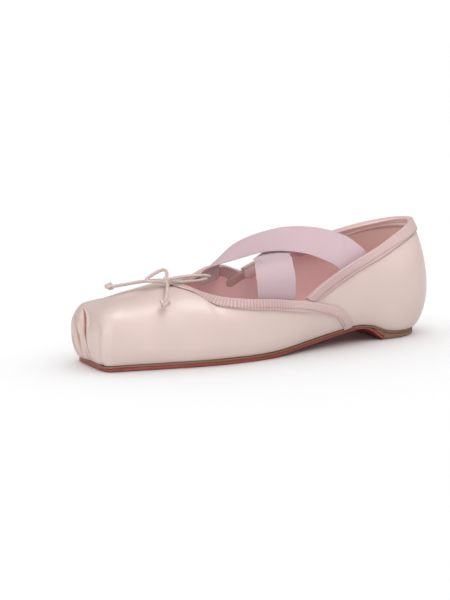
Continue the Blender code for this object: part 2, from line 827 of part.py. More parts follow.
def make_bow(collection):
    """Drawstring bow on the throat: a knot, two loops and two knotted ends."""
    make_knot("bow_knot", collection, BOW_KNOT)
    make_cord("bow_loop_rear", collection, REAR_LOOP)
    make_cord("bow_loop_front", collection, FRONT_LOOP)
    make_cord("bow_end_inner", collection, LEFT_END)
    make_cord("bow_end_outer", collection, FRONT_END)
    make_knot("bow_end_knot_inner", collection, LEFT_END_KNOT)
    make_knot("bow_end_knot_outer", collection, FRONT_END_KNOT)


# The whole shoe

def centre_on_origin(collection):
    """Move every piece so that the shoe stands on the origin, centred in plan."""
    bpy.context.view_layer.update()
    graph = bpy.context.evaluated_depsgraph_get()
    low = Vector((1, 1, 1))
    high = -low
    for piece in collection.objects:
        if piece.type == "CURVE":
            continue
        for bound in piece.evaluated_get(graph).bound_box:
            low = Vector(map(min, low, bound))
            high = Vector(map(max, high, bound))
    shift = -(low + high) / 2
    shift.z = -low.z
    for piece in collection.objects:
        piece.location = shift


def main():
    for old in list(bpy.data.objects):
        bpy.data.objects.remove(old)
    collection = bpy.data.collections.new("ballet_flat")
    bpy.context.scene.collection.children.link(collection)
    skin = Skin()
    make_sole(collection)
    make_insole(collection)
    make_upper(collection)
    make_vamp_tape(skin, collection)
    make_quarter_tape(skin, collection)
    make_strap("strap_over", skin, collection, STRAP_OVER, OVER_CROWN,
               (OVER_LATERAL_Y, True), (OVER_MEDIAL_Y, False))
    make_strap("strap_under", skin, collection, STRAP_UNDER, UNDER_CROWN,
               (UNDER_LATERAL_Y, False), (UNDER_MEDIAL_Y, True))
    make_bow(collection)
    centre_on_origin(collection)


main()
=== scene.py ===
"""Looks of the ballet flat, a left shoe with its toe to -Y, its heel to +Y and its outer side to +X.

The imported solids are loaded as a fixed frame. Each piece below replaces or dresses one of them:
the satin upper with its toe pleats and lining, the gathered bindings with their stitches, the
elastic straps, the bow of thin braided cord, the sole's leather layers and the insole.
The tables of places on the shoe are in millimetres, which MM turns into metres. The settings, the
distances on the tapes and straps and the lights' places are in metres.
"""
import math

import bmesh
import bpy
from bpy.props import FloatProperty, FloatVectorProperty, IntProperty, PointerProperty
from mathutils import Euler, Matrix, Vector, noise
from mathutils.bvhtree import BVHTree
from mathutils.kdtree import KDTree


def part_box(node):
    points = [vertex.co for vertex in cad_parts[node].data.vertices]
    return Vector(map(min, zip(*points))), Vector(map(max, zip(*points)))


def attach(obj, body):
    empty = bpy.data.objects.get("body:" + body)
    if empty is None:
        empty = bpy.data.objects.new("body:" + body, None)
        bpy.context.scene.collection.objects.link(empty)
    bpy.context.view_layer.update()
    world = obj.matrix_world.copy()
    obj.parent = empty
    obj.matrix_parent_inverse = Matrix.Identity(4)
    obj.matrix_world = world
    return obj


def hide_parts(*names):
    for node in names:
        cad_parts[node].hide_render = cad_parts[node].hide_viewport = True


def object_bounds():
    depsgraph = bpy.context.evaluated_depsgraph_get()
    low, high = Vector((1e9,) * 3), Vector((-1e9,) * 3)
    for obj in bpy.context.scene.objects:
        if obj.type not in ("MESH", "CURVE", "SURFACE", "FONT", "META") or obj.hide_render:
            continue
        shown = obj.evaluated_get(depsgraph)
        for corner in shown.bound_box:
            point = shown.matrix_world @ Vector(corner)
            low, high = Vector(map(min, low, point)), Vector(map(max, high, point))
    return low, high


bl_info = {
    "name": "Ballet flat looks",
    "version": (1, 0, 0),
    "blender": (4, 5, 0),
    "location": "View3D > Sidebar > Ballet flat",
    "description": "Dresses the ballet flat's solids in satin, binding, elastic, cord and leather",
    "category": "Object",
}

MM = 0.001
BODY = "root"

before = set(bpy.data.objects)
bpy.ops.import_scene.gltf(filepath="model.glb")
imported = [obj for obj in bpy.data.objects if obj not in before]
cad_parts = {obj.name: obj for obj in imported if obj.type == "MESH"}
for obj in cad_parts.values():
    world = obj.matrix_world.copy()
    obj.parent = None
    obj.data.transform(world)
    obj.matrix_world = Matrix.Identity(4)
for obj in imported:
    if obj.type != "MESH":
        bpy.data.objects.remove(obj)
CAD_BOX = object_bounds()

# Route of the bow's cords, in the part's own millimetres, before the shoe was centred in plan
BOW_KNOT = (2.0, -66.2, 47.4)
REAR_LOOP = ((4.6, -64.3, 49.1), (6.2, -58.0, 50.0), (6.4, -47.0, 49.9), (5.0, -39.0, 48.7),
             (2.7, -36.6, 47.2), (0.9, -39.0, 45.9), (1.4, -47.0, 45.5), (2.2, -57.0, 46.0),
             (2.4, -62.9, 47.1))
FRONT_LOOP = ((0.7, -65.3, 50.6), (-0.6, -64.3, 53.2), (-2.4, -65.6, 54.0), (-3.3, -68.9, 52.9),
              (-3.5, -72.8, 51.1), (-2.7, -77.2, 49.0), (-0.8, -78.6, 48.2), (0.8, -75.6, 47.8),
              (1.9, -69.5, 47.6))
INNER_END = ((-0.9, -67.4, 47.6), (-5.0, -72.0, 47.2), (-7.6, -80.0, 46.7), (-9.6, -88.0, 45.6),
             (-11.3, -94.3, 44.8))
OUTER_END = ((4.9, -67.6, 47.7), (8.6, -69.0, 47.3), (12.6, -70.8, 46.5), (17.6, -73.4, 45.2),
             (21.5, -75.7, 43.9), (24.6, -77.6, 42.5), (26.9, -79.3, 41.2))
# Way of each cord through the knot, wide enough that it doesn't turn back on itself
INNER_TURN = (BOW_KNOT,)
OUTER_TURN = ((2.6, -64.6, 48.5), BOW_KNOT, (3.2, -67.7, 47.5))
# Each cord's points, the knot at its end and the nodes that it stands for
CORDS = {
    "inner_cord": (FRONT_LOOP[::-1] + INNER_TURN + INNER_END, "inner_end_knot",
                   ("bow_end_inner", "bow_loop_front")),
    "outer_cord": (REAR_LOOP[::-1] + OUTER_TURN + OUTER_END, "outer_end_knot",
                   ("bow_end_outer", "bow_loop_rear")),
}
# Each knot's node, place, half sizes and turn
KNOTS = {
    "bow_knot_tied": ("bow_knot", BOW_KNOT, (2.4, 2.1, 1.9), (0.5, 0.9, 0.3)),
    "inner_end_knot": ("bow_end_knot_inner", (-12.0, -97.6, 44.9), (2.0, 2.0, 1.3), (0.3, 1.2, 0.4)),
    "outer_end_knot": ("bow_end_knot_outer", (29.3, -81.0, 39.7), (2.2, 2.2, 1.9), (1.1, 0.2, 0.9)),
}

# Distance between the points of a cord's route, times that it is eased, points round a knot, and
# radius of the cord in a knot as a share of the cord's diameter
CORD_STEP = 0.0007
CORD_EASINGS = 8
KNOT_STEPS = 84
KNOT_CORD = 0.6

# Move from those millimetres to the row frame, read from the knot's solid
KNOT_LOW, KNOT_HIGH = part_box("bow_knot")
ROW_SHIFT = (KNOT_LOW + KNOT_HIGH) / 2 - Vector(BOW_KNOT) * MM

# Soft pulls on copies of the solids, in the part's own millimetres, and the nodes that each one moves
# columns: x, y, z, reach x, reach y, reach z, move x, move y, move z
TOPLINE_PULLS = (
    (("upper", "quarter_tape", "strap_over"), (30.0, 77.0, 60.0, 16.0, 24.0, 14.0, 0.0, 0.0, -2.5)),
    (("upper", "vamp_tape"), (31.0, -24.0, 42.0, 8.0, 17.0, 8.0, 0.0, 0.0, -1.0)),
)
# The same for the straps, once they are rounded
STRAP_PULLS = {
    "strap_over": ((31.0, 60.0, 50.0, 9.0, 11.0, 9.0, 0.0, 2.4, 0.4),),
    "strap_under": ((31.0, -21.0, 50.0, 6.0, 7.0, 8.0, 0.0, -0.8, 0.3),
                    (34.0, 8.0, 38.0, 6.0, 5.0, 5.0, 0.0, 0.5, 0.0)),
}

# Inner end of the quarter's binding on the inner side, as y and z in the part's own millimetres
TAIL_ROUTE = ((11.0, 43.6), (6.0, 41.6), (2.0, 39.4), (-2.0, 36.8), (-5.6, 34.0))
TAIL_WIDTH = 6.4
TAIL_COLUMNS = 13
TAIL_SMOOTHINGS = 14
TAIL_THICKNESS = 0.0006

# Toe pleats, each a fold of the satin whose outer lip covers a hollow. Rows go down its line
# columns: height, x of the sharp outer lip, width of the hollow, depth, strength of the painted shade in the
# hollow
TOE_PLEATS = (
    ((34.2, -9.6, 0.6, 0.0, 0.0), (33.3, -8.0, 1.2, 0.6, 0.2), (32.0, -2.3, 3.9, 2.2, 0.34),
     (29.9, 2.5, 6.2, 3.6, 0.38), (26.6, 6.4, 7.3, 4.4, 0.46), (22.7, 8.0, 7.0, 4.6, 0.62),
     (20.8, 8.4, 5.4, 4.6, 0.85), (18.2, 8.7, 3.2, 4.2, 1.2), (15.5, 8.6, 1.5, 3.2, 1.4),
     (12.6, 8.8, 1.1, 2.2, 0.9), (10.3, 8.8, 0.9, 1.6, 0.7), (6.6, 8.0, 0.8, 1.1, 0.5),
     (3.0, 7.6, 0.7, 0.7, 0.4)),
    ((29.6, -14.0, 0.6, 0.0, 0.0), (28.5, -12.2, 1.4, 0.8, 0.3), (25.1, -5.8, 2.0, 1.7, 0.5),
     (22.1, -2.5, 2.3, 2.2, 0.6), (18.5, -0.9, 2.3, 2.5, 0.8), (14.6, -0.1, 2.1, 2.5, 0.9),
     (12.1, -0.3, 1.8, 2.2, 0.9), (8.8, -0.9, 1.4, 1.8, 0.7), (5.6, -2.6, 1.0, 1.2, 0.5),
     (3.0, -3.4, 0.8, 0.8, 0.3)),
    ((29.0, -14.0, 2.0, 0.0, 0.0), (25.1, -6.0, 5.0, 0.8, 0.2), (21.0, -2.2, 6.5, 1.4, 0.3),
     (14.6, -0.4, 5.5, 1.4, 0.3), (8.8, -1.2, 4.0, 0.8, 0.2), (3.0, -3.6, 2.0, 0.2, 0.0)),
    ((19.0, -13.4, 0.6, 0.0, 0.0), (15.4, -12.4, 1.4, 1.0, 0.4), (12.8, -11.4, 1.7, 1.6, 0.6),
     (10.8, -10.2, 1.6, 1.8, 0.7), (8.8, -9.1, 1.3, 1.5, 0.6), (6.4, -8.4, 1.0, 1.0, 0.4),
     (3.0, -8.0, 0.8, 0.6, 0.3)),
    ((14.0, 4.6, 0.6, 0.0, 0.0), (10.0, 4.4, 0.9, 0.6, 0.4), (6.0, 3.6, 0.8, 0.7, 0.4),
     (3.0, 3.2, 0.7, 0.4, 0.3)),
)
# Soft upright waves beside the pleats
# columns: height, x, half width, depth, where a ridge has a negative depth
TOE_WAVES = (
    ((31.0, 11.0, 2.0, 0.0), (27.0, 11.6, 2.0, -0.5), (17.0, 12.0, 2.0, -0.5), (4.0, 11.8, 1.8, -0.3)),
    ((30.0, 17.6, 2.4, 0.0), (24.0, 18.8, 2.3, 0.8), (14.0, 19.2, 2.1, 1.0), (4.0, 17.4, 1.9, 0.8)),
    ((31.0, 22.4, 1.6, 0.0), (24.0, 22.8, 1.5, -0.7), (12.0, 22.9, 1.4, -0.8), (4.0, 21.6, 1.3, -0.6)),
    ((34.0, -22.0, 2.2, 0.0), (25.0, -21.5, 2.4, 0.5), (14.0, -19.5, 2.4, 0.6), (5.0, -17.0, 2.0, 0.4)),
)
# The pleats and waves fade out between half this distance behind the toe and all of it
TOE_FRONT_REACH = 8.0
# Rise of the satin beside a pleat's hollow and lean of its lip over it, as shares of its depth
PLEAT_ROLL = 0.22
PLEAT_LEAN = 0.24
# Width over which the hollow begins under its lip, and over which the lean fades
PLEAT_LIP = 0.4
PLEAT_LEAN_REACH = 4.5

# Places where the satin hangs over the sole
# columns: x, y, z, reach x, reach y, reach z, move out, move down
SATIN_SAGS = (
    (-22.0, -119.0, 5.0, 16.0, 7.0, 6.0, 0.0, 1.6),
    (18.0, 108.0, 8.0, 12.0, 16.0, 5.0, -0.5, 1.0),
    (-18.0, 108.0, 8.0, 12.0, 16.0, 5.0, -0.5, 1.0),
)
# Soft dents over the upper
# columns: x, y, z, reach x, reach y, reach z, depth
SOFT_DENTS = (
    (-9.0, -115.0, 35.0, 15.0, 4.0, 4.0, -1.1),
    (14.0, -115.0, 34.0, 9.0, 4.0, 4.0, -0.5),
    (27.0, -66.0, 39.5, 8.0, 4.5, 4.0, 0.3),
    (31.0, -57.5, 37.0, 7.0, 3.5, 4.0, 0.2),
    (29.0, -80.0, 33.5, 5.0, 4.0, 6.0, 0.3),
    (39.0, -20.0, 16.0, 12.0, 22.0, 7.0, 0.35),
    (34.0, 30.0, 14.0, 12.0, 18.0, 7.0, 0.3),
    (32.0, 62.0, 22.0, 12.0, 16.0, 12.0, 0.3),
    (-36.0, -30.0, 20.0, 12.0, 20.0, 9.0, 0.35),
    (-30.0, 40.0, 24.0, 12.0, 22.0, 9.0, 0.3),
)
# Millimetres by which the sole's layers reach further back at the heel, and metres from the heel's
# end over which that fades in; then metres from the middle, and from the toe's end, over which the
# set-back of the outer toe corner changes
HEEL_REACH = 1.0
HEEL_FADE = (0.030, 0.004)
CORNER_FADE = (0.008, 0.034)

# Width of a strap and distances from its edge between which it darkens, and the stitches' size
STRAP_WIDTH = 0.025
STRAP_RIM = (0.0022, 0.0006)
STITCH_WIDTH = 0.00052
STITCH_HEIGHT = 0.0004

# Throat's binding: distances from an end or from the middle over which a feature fades in
GATHERS_FROM_END = (0.050, 0.064)
GATHERS_FROM_MIDDLE = (0.006, 0.022)
NARROW_FROM_END = (0.040, 0.052)
NARROW_FROM_MIDDLE = (0.026, 0.040)
WIDE_FROM_MIDDLE = (0.004, 0.012)
WIDE_TO = (0.022, 0.034)
THROAT_NARROWER = 0.13
FRONT_WIDER = 0.45
GATHER_JITTER = 0.0006
# Its rear edges reach this far from its ends, and their stitches run in the middle of the tape
REAR_EDGE = 0.046
REAR_STITCHES = 0.0019
THROAT_STITCHES = 0.0049
# Collar's binding: the same, and distances down its inner face for its painted light, a lighter copy of the
# tape, and for a painted highlight line along that face's lower edge
LINES_FROM_END = (0.028, 0.060)
PIPING_HIGHLIGHT_FROM_END = (0.07, 0.08)
LIT_INNER_FACE = (0.0010, 0.0024)
PIPING_HIGHLIGHT = (0.0052, 0.0056)
COLLAR_NARROWER = 0.15
COLLAR_STITCHES = 0.0047
# Foot of a tape's outer leaf, laid on the satin by this much
TAPE_FOOT = (0.0040, 0.0058)
TAPE_LAID = 0.0003

# Front and back ends of the lines that the tapes run round and that the upper's wall stands round
TAPE_MIDDLE = (-0.05, 0.085)
UPPER_MIDDLE = (-0.085, 0.07)
UPPER_MIDDLE_HEIGHT = 0.020

# Photograph's frame and the fitted camera in its pixels, the camera's sensor in millimetres and the
# height of the place that it turns about in metres
PICTURE_WIDTH = 450
PICTURE_HEIGHT = 600
FOCAL_PIXELS = 1584.85
AIM_PIXEL = (259.1, 298.82)
SENSOR_WIDTH = 36
AIM_HEIGHT = 0.03

# Soft lights: place, point that each faces, width and height, in metres
LIGHTS = {
    "key": ((0.85, -0.55, 0.95), (0, -0.02, 0.03), 0.9, 0.6),
    "side": ((1.15, -0.68, 0.33), (0, -0.03, 0.03), 0.9, 0.5),
    "top": ((0.2, 0.3, 1.05), (0, 0, 0.03), 0.9, 0.6),
    "over": ((0.0, -0.1, 1.2), (0, 0, 0.03), 0.9, 0.9),
    "toe": ((0.15, -1.3, 0.6), (0, -0.11, 0.02), 0.6, 0.5),
}


# Settings

def tint(red, green, blue):
    """Linear colour of a screen colour given from 0 to 255."""
    parts = []
    for part in (red / 255, green / 255, blue / 255):
        parts.append(part / 12.92 if part <= 0.04045 else ((part + 0.055) / 1.055) ** 2.4)
    return tuple(parts)


def colour(label, description, default):
    """Property for a linear colour."""
    return FloatVectorProperty(name=label, description=description, subtype="COLOR", size=3, default=default)


def length(label, description, default, low, high):
    """Property for a length in metres."""
    return FloatProperty(name=label, description=description, default=default, min=low, max=high,
                         unit="LENGTH")


def power(label, description, default):
    """Property for a light's power in watts."""
    return FloatProperty(name=label, description=description, default=default, min=0.0, max=200.0,
                         unit="POWER")


class UpperSettings(bpy.types.PropertyGroup):
    """Satin and lining of the upper."""
    satin: colour("Satin", "Colour of the satin", tint(217, 195, 188))
    # Painted shade: a dark colour deep in the toe pleats
    satin_deep_shade: colour("Deep satin", "Colour inside the pleats", tint(120, 52, 36))
    # Painted shade: a warmer colour on the toe pleats' sides
    satin_fold_shade: colour("Fold satin", "Colour of the pleats' sides", tint(214, 172, 156))
    lining: colour("Lining", "Colour of the lining", tint(250, 217, 215))
    # Partly a paler heel grip, partly painted light high inside the heel
    heel_grip_and_light: colour("Heel grip", "Colour of the lining at the heel", tint(240, 214, 204))
    pleat_scale: FloatProperty(name="Pleats", description="Share of the toe pleats' full depth",
                               default=1.0, min=0.0, max=1.5, subtype="FACTOR")
    wave_depth: length("Waves", "Depth of the satin's slow waves", 0.00016, 0.0, 0.001)


class BindingSettings(bpy.types.PropertyGroup):
    """Gathered bindings and their stitches."""
    tape: colour("Binding", "Colour of the binding", tint(204, 177, 174))
    # Painted shade: the colour in the hollows between the ribs and lines
    groove: colour("Grooves", "Colour between the ribs", tint(172, 138, 138))
    # Painted highlight: a light line along the lower edge of the collar binding's inner face
    piping: colour("Piping", "Colour of the thin line inside the heel", tint(255, 240, 230))
    thread: colour("Thread", "Colour of the stitches", tint(152, 110, 108))
    rib_pitch: length("Rib pitch", "Distance between the throat's ribs", 0.0020, 0.001, 0.01)
    rib_depth: length("Rib depth", "Depth between the ribs", 0.0002, 0.0, 0.001)
    line_pitch: length("Line pitch", "Distance between the collar's lines", 0.0013, 0.0005, 0.005)
    line_depth: length("Line depth", "Depth of the collar's lines", 0.00012, 0.0, 0.001)
    stitch_pitch: length("Stitch pitch", "Distance between stitches", 0.0015, 0.001, 0.01)
    stitch_length: length("Stitch length", "Length of one stitch", 0.0009, 0.0005, 0.005)


class StrapSettings(bpy.types.PropertyGroup):
    """Elastic straps."""
    elastic: colour("Elastic", "Colour of the elastic", tint(197, 171, 178))
    weave_pitch: length("Weave", "Distance between the elastic's ribs", 0.00062, 0.0002, 0.003)


class BowSettings(bpy.types.PropertyGroup):
    """Braided cord of the bow."""
    cord: colour("Cord", "Colour of the cord", tint(216, 194, 186))
    diameter: length("Diameter", "Thickness of the cord", 0.0020, 0.001, 0.005)
    sides: IntProperty(name="Sides", description="Sides of the cord's round section", default=20,
                       min=8, max=48)


class SoleSettings(bpy.types.PropertyGroup):
    """Leather layers under the shoe and the insole inside it."""
    sole: colour("Outsole", "Colour of the outsole", tint(150, 66, 52))
    edge: colour("Leather edge", "Colour of the leather edges", tint(140, 106, 82))
    insole: colour("Insole", "Colour of the insole", tint(246, 200, 196))


class StageSettings(bpy.types.PropertyGroup):
    """Camera, floor and lights."""
    azimuth: FloatProperty(name="Azimuth", description="Camera's turn from the toe", subtype="ANGLE",
                           default=math.radians(60))
    elevation: FloatProperty(name="Elevation", description="Camera's height angle", subtype="ANGLE",
                             default=math.radians(10.5))
    distance: length("Distance", "Camera's distance from its aim", 1.0, 0.2, 5.0)
    floor: colour("Floor", "Colour of the floor", (0.92, 0.92, 0.925))
    world: FloatProperty(name="World light", description="Strength of the even light", default=0.24,
                         min=0.0, max=5.0)
    key: power("Key light", "Power of the main soft light", 3.3)
    side: power("Side light", "Power of the low light at the outer side", 4.5)
    top: power("Top light", "Power of the light above the heel", 7.0)
    over: power("Light above", "Power of the broad light above the shoe", 1.8)
    toe: power("Toe light", "Power of the light in front of the toe", 2.4)
    floor_light: FloatProperty(name="Floor light", description="Strength of the light on the floor alone",
                               default=3.0, min=0.0, max=20.0)


# Shaders

class Value:
    """Number socket of a shader, whose arithmetic adds Math nodes."""

    def __init__(self, finish, socket):
        self.finish = finish
        self.socket = socket

    def math(self, operation, *others):
        """Result of one Math node on this value and the others."""
        return self.finish.number("ShaderNodeMath", {"operation": operation}, self, *others)

    def __add__(self, other):
        return self.math("ADD", other)

    __radd__ = __add__

    def __sub__(self, other):
        return self.math("SUBTRACT", other)

    def __mul__(self, other):
        return self.math("MULTIPLY", other)

    def sine(self):
        """Sine of this value."""
        return self.math("SINE")

    def clamp(self):
        """This value kept between 0 and 1."""
        return self.finish.number("ShaderNodeClamp", {}, self, 0.0, 1.0)


class Finish:
    """One material and the nodes that feed its Principled shader."""

    def __init__(self, name, roughness, specular=0.5, sheen=0.0, sheen_tint=(1, 1, 1), coat=0.0):
        self.material = bpy.data.materials.new(name)
        self.material.use_nodes = True
        self.tree = self.material.node_tree
        self.surface = self.tree.nodes["Principled BSDF"]
        self.set("Roughness", roughness)
        self.set("Specular IOR Level", specular)
        self.set("Sheen Weight", sheen)
        self.set("Sheen Roughness", 0.45)
        self.set("Sheen Tint", (*sheen_tint, 1))
        self.set("Coat Weight", coat)
        self.set("Coat Roughness", 0.3)

    def node(self, kind, settings, *inputs):
        """Node of this kind: its settings first, then the values or links of its sockets."""
        made = self.tree.nodes.new(kind)
        for name, value in settings.items():
            setattr(made, name, value)
        for socket, value in zip([s for s in made.inputs if s.enabled], inputs):
            self.plug(socket, value)
        return made

    def plug(self, socket, value):
        """Set a socket to a value, or link it."""
        if isinstance(value, Value):
            self.tree.links.new(value.socket, socket)
        elif isinstance(value, bpy.types.NodeSocket):
            self.tree.links.new(value, socket)
        elif socket.type == "RGBA" and len(value) == 3:
            socket.default_value = (*value, 1)
        else:
            socket.default_value = value

    def set(self, name, value):
        """Set or link one socket of the shader."""
        self.plug(self.surface.inputs[name], value)

    def number(self, kind, settings, *inputs):
        """Number that a node gives."""
        return Value(self, self.node(kind, settings, *inputs).outputs[0])

    def place(self):
        """Place on the piece, in metres."""
        return self.node("ShaderNodeTexCoord", {}).outputs["Object"]

    def part_of_place(self, index):
        """One coordinate of the place on the piece."""
        return Value(self, self.node("ShaderNodeSeparateXYZ", {}, self.place()).outputs[index])

    def kept(self, name):
        """Number kept on the mesh under this name."""
        return Value(self, self.node("ShaderNodeAttribute", {"attribute_name": name}).outputs["Fac"])

    def noise(self, scale, detail=2.0, roughness=0.5, stretch=(1, 1, 1)):
        """Soft noise from 0 to 1 over the piece, finer along an axis with a larger stretch."""
        vector = self.place()
        if stretch != (1, 1, 1):
            vector = self.node("ShaderNodeMapping", {}, vector, (0, 0, 0), (0, 0, 0), stretch).outputs[0]
        return self.number("ShaderNodeTexNoise", {}, vector, scale, detail, roughness)

    def waves(self, name, pitch):
        """Waves from 0 to 1, this far apart, along a number kept on the mesh."""
        return (self.kept(name) * (2 * math.pi / pitch)).sine() * 0.5 + 0.5

    def mix(self, factor, first, second):
        """Colour between two colours."""
        return self.node("ShaderNodeMix", {"data_type": "RGBA"}, factor, first, second).outputs[2]

    def tones(self, factor, base, low, high):
        """Colour between two tones of one colour, given as shares of its light."""
        return self.mix(factor, toned(base, low), toned(base, high))

    def paint(self, base, roughness):
        """Set the shader's colour and roughness."""
        self.set("Base Color", base)
        self.set("Roughness", roughness)

    def bump(self, height, depth):
        """Relief of a number from 0 to 1, this deep in metres."""
        made = self.tree.nodes.new("ShaderNodeBump")
        made.inputs["Distance"].default_value = depth
        self.plug(made.inputs["Height"], height)
        self.set("Normal", made.outputs[0])


def toned(base, share):
    """Colour with this share of its light."""
    return tuple(part * share for part in base)


def ramp_between(value, low, high):
    """Number that goes from 0 at low to 1 at high."""
    return ((value - low) * (1 / (high - low))).clamp()


# Materials

def satin_finish(settings):
    """Pale satin: a soft broad shine, faint slubs, and painted shade in the pleats, warmer on their sides
    and dark deep in them.
    """
    finish = Finish("satin", 0.4, specular=0.6, sheen=0.2, sheen_tint=settings.satin)
    patches = finish.noise(38.0)
    slubs = finish.noise(1.0, 3.0, 0.6, (900, 60, 900))
    weave = finish.noise(5200.0, 1.0)
    # The pleat layer holds painted shade: a warmer colour on the pleats' sides and a dark one deep in them
    pleat = finish.kept("pleat")
    base = finish.tones(patches, settings.satin, 0.94, 1.06)
    fold = finish.mix((pleat * 3.0).clamp(), base, settings.satin_fold_shade)
    deep = finish.mix(((pleat - 0.15) * 1.7).clamp(), fold, settings.satin_deep_shade)
    finish.paint(deep, 0.33 + patches * 0.06 + slubs * 0.06)
    finish.bump(slubs * 0.6 + weave * 0.4, 0.00004)
    return finish.material


def lining_finish(settings):
    """Matt lining leather with a fine grain, lighter high round the heel: partly a paler heel grip, partly
    painted light, which leaves the lining below darker as painted shade.
    """
    finish = Finish("lining", 0.62, specular=0.2)
    grain = finish.noise(1500.0, 2.0, 0.6)
    # Painted light high round the heel, partly a paler heel grip, with the lining lower down left darker as
    # painted shade
    back = ramp_between(finish.part_of_place(1), 0.070, 0.094)
    high = ramp_between(finish.part_of_place(2), 0.044, 0.060)
    base = finish.tones(finish.noise(45.0, 3.0), settings.lining, 0.86, 1.12)
    finish.paint(finish.mix(back * high, base, settings.heel_grip_and_light), 0.55 + grain * 0.15)
    finish.bump(grain, 0.00005)
    return finish.material


def binding_base(name, settings, groove_shade_share):
    """Finish of woven tape, its weave, and its colour with this share of painted shade in its hollows."""
    finish = Finish(name, 0.6, specular=0.35, sheen=0.3)
    weave = finish.noise(3200.0)
    base = finish.tones(finish.noise(60.0), settings.tape, 1.0, 1.05)
    # Painted shade in the tape's hollows, with a little random weave
    groove = (finish.kept("groove") * groove_shade_share + weave * 0.12).clamp()
    return finish, weave, finish.mix(groove, base, settings.groove)


def throat_binding_finish(settings):
    """Binding with ribs across it, painted shade in the hollows between them, and a fine weave."""
    finish, weave, ribbed = binding_base("throat_binding", settings, 0.75)
    finish.paint(ribbed, 0.55 + weave * 0.12)
    ribs = finish.waves("along", settings.rib_pitch) * finish.kept("gathered")
    finish.bump(weave * 0.6 + ribs * 0.2, 0.00009)
    return finish.material


def collar_binding_finish(settings):
    """Binding with lines along it that fade towards the heel, and a fine weave."""
    finish, weave, lined = binding_base("collar_binding", settings, 0.7)
    # Painted light: the tape's inner face is a lighter copy of the tape
    inner = finish.mix(finish.kept("inner"), lined, toned(settings.tape, 1.3))
    # Painted highlight: a light line along the lower edge of the inner face
    finish.paint(finish.mix(finish.kept("piping"), inner, settings.piping), 0.55 + weave * 0.12)
    finish.bump(weave, 0.00006)
    return finish.material


def elastic_finish(settings):
    """Woven elastic: fine ribs along the strap, finer threads across, darker at its edges."""
    finish = Finish("elastic", 0.62, specular=0.3, sheen=0.35, sheen_tint=(1.0, 0.94, 0.98))
    ribs = finish.waves("across", settings.weave_pitch)
    threads = finish.waves("along", settings.weave_pitch * 0.7)
    base = finish.tones(finish.noise(50.0), settings.elastic, 0.95, 1.04)
    rim = finish.mix((finish.kept("rim") * 0.5).clamp(), base, toned(settings.elastic, 0.82))
    finish.paint(rim, 0.58 + ribs * 0.08)
    finish.bump(ribs * 0.5 + threads * 0.5, 0.00005)
    return finish.material


def cord_finish(settings):
    """Braided cord: two crossing spirals of thin strands."""
    finish = Finish("cord", 0.6, specular=0.35, sheen=0.3)
    along = finish.kept("along") * (2 * math.pi / 0.0030)
    around = finish.kept("around") * (2 * math.pi * 3)
    braid = (along + around).sine().math("MAXIMUM", (along - around).sine()) * 0.5 + 0.5
    fibres = finish.noise(4000.0)
    strands = braid * 0.8 + fibres * 0.2
    finish.paint(finish.tones(strands.clamp(), settings.cord, 0.72, 1.0), 0.55 + fibres * 0.15)
    finish.bump(strands, 0.00012)
    return finish.material


def thread_finish(settings):
    """Sewing thread."""
    finish = Finish("thread", 0.5, specular=0.4, sheen=0.2)
    finish.set("Base Color", finish.tones(finish.noise(3000.0, 1.0), settings.thread, 0.85, 1.0))
    return finish.material


def sole_finish(settings):
    """Smooth russet sole leather, finely mottled and a little glossy."""
    finish = Finish("sole_leather", 0.35, specular=0.5, coat=0.25)
    mottle = finish.noise(70.0, 4.0, 0.6)
    grain = finish.noise(1800.0)
    finish.paint(finish.tones(mottle, settings.sole, 0.82, 1.18), 0.3 + grain * 0.14 + mottle * 0.06)
    finish.bump(grain, 0.00003)
    return finish.material


def edge_finish(settings):
    """Dyed and burnished leather edge, with fine layers along it."""
    finish = Finish("edge_leather", 0.45, specular=0.45)
    streaks = finish.noise(1.0, 3.0, 0.6, (60, 60, 2600))
    bands = (streaks * 0.6 + finish.noise(160.0, 3.0) * 0.4).clamp()
    finish.paint(finish.tones(bands, settings.edge, 0.86, 1.12), 0.4 + streaks * 0.15)
    finish.bump(streaks, 0.00002)
    return finish.material


def insole_finish(settings):
    """Soft insole leather with a fine grain."""
    finish = Finish("insole_leather", 0.6, specular=0.25)
    grain = finish.noise(1500.0, 2.0, 0.6)
    finish.paint(finish.tones(finish.noise(40.0, 3.0), settings.insole, 0.88, 1.1), 0.52 + grain * 0.15)
    finish.bump(grain, 0.00005)
    return finish.material


# Mesh tools

def bell(distance):
    """Smooth hump: 1 at 0, fading past 1."""
    return math.exp(-distance * distance)


def nearness(point, row):
    """Bell of a point's distance in millimetres from a row's place, over the row's reach, and its rest."""
    x, y, z, reach_x, reach_y, reach_z, *rest = row
    away = Vector(((point.x - x) / reach_x, (point.y - y) / reach_y, (point.z - z) / reach_z))
    return bell(away.length), rest


def fade_between(value, low, high):
    """Number that goes smoothly from 0 at low to 1 at high."""
    share = min(1.0, max(0.0, (value - low) / (high - low)))
    return share * share * (3 - 2 * share)


def in_row(place):
    """Place in the row frame of a place in the part's own millimetres."""
    return Vector(place) * MM + ROW_SHIFT


def soft_pull(shape, pull):
    """Move a shape's points near a place, less and less with their distance from it."""
    for vert in shape.verts:
        share, move = nearness((vert.co - ROW_SHIFT) / MM, pull)
        vert.co += Vector(move) * MM * share


def clean_copy(node):
    """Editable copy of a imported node, its loose triangles merged and paired into four-sided faces."""
    shape = bmesh.new()
    shape.from_mesh(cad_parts[node].data)
    bmesh.ops.remove_doubles(shape, verts=shape.verts, dist=0.00001)
    bmesh.ops.join_triangles(shape, faces=shape.faces, angle_face_threshold=math.radians(50),
                             angle_shape_threshold=math.radians(70))
    for nodes, pull in TOPLINE_PULLS:
        if node in nodes:
            soft_pull(shape, pull)
    shape.verts.index_update()
    return shape


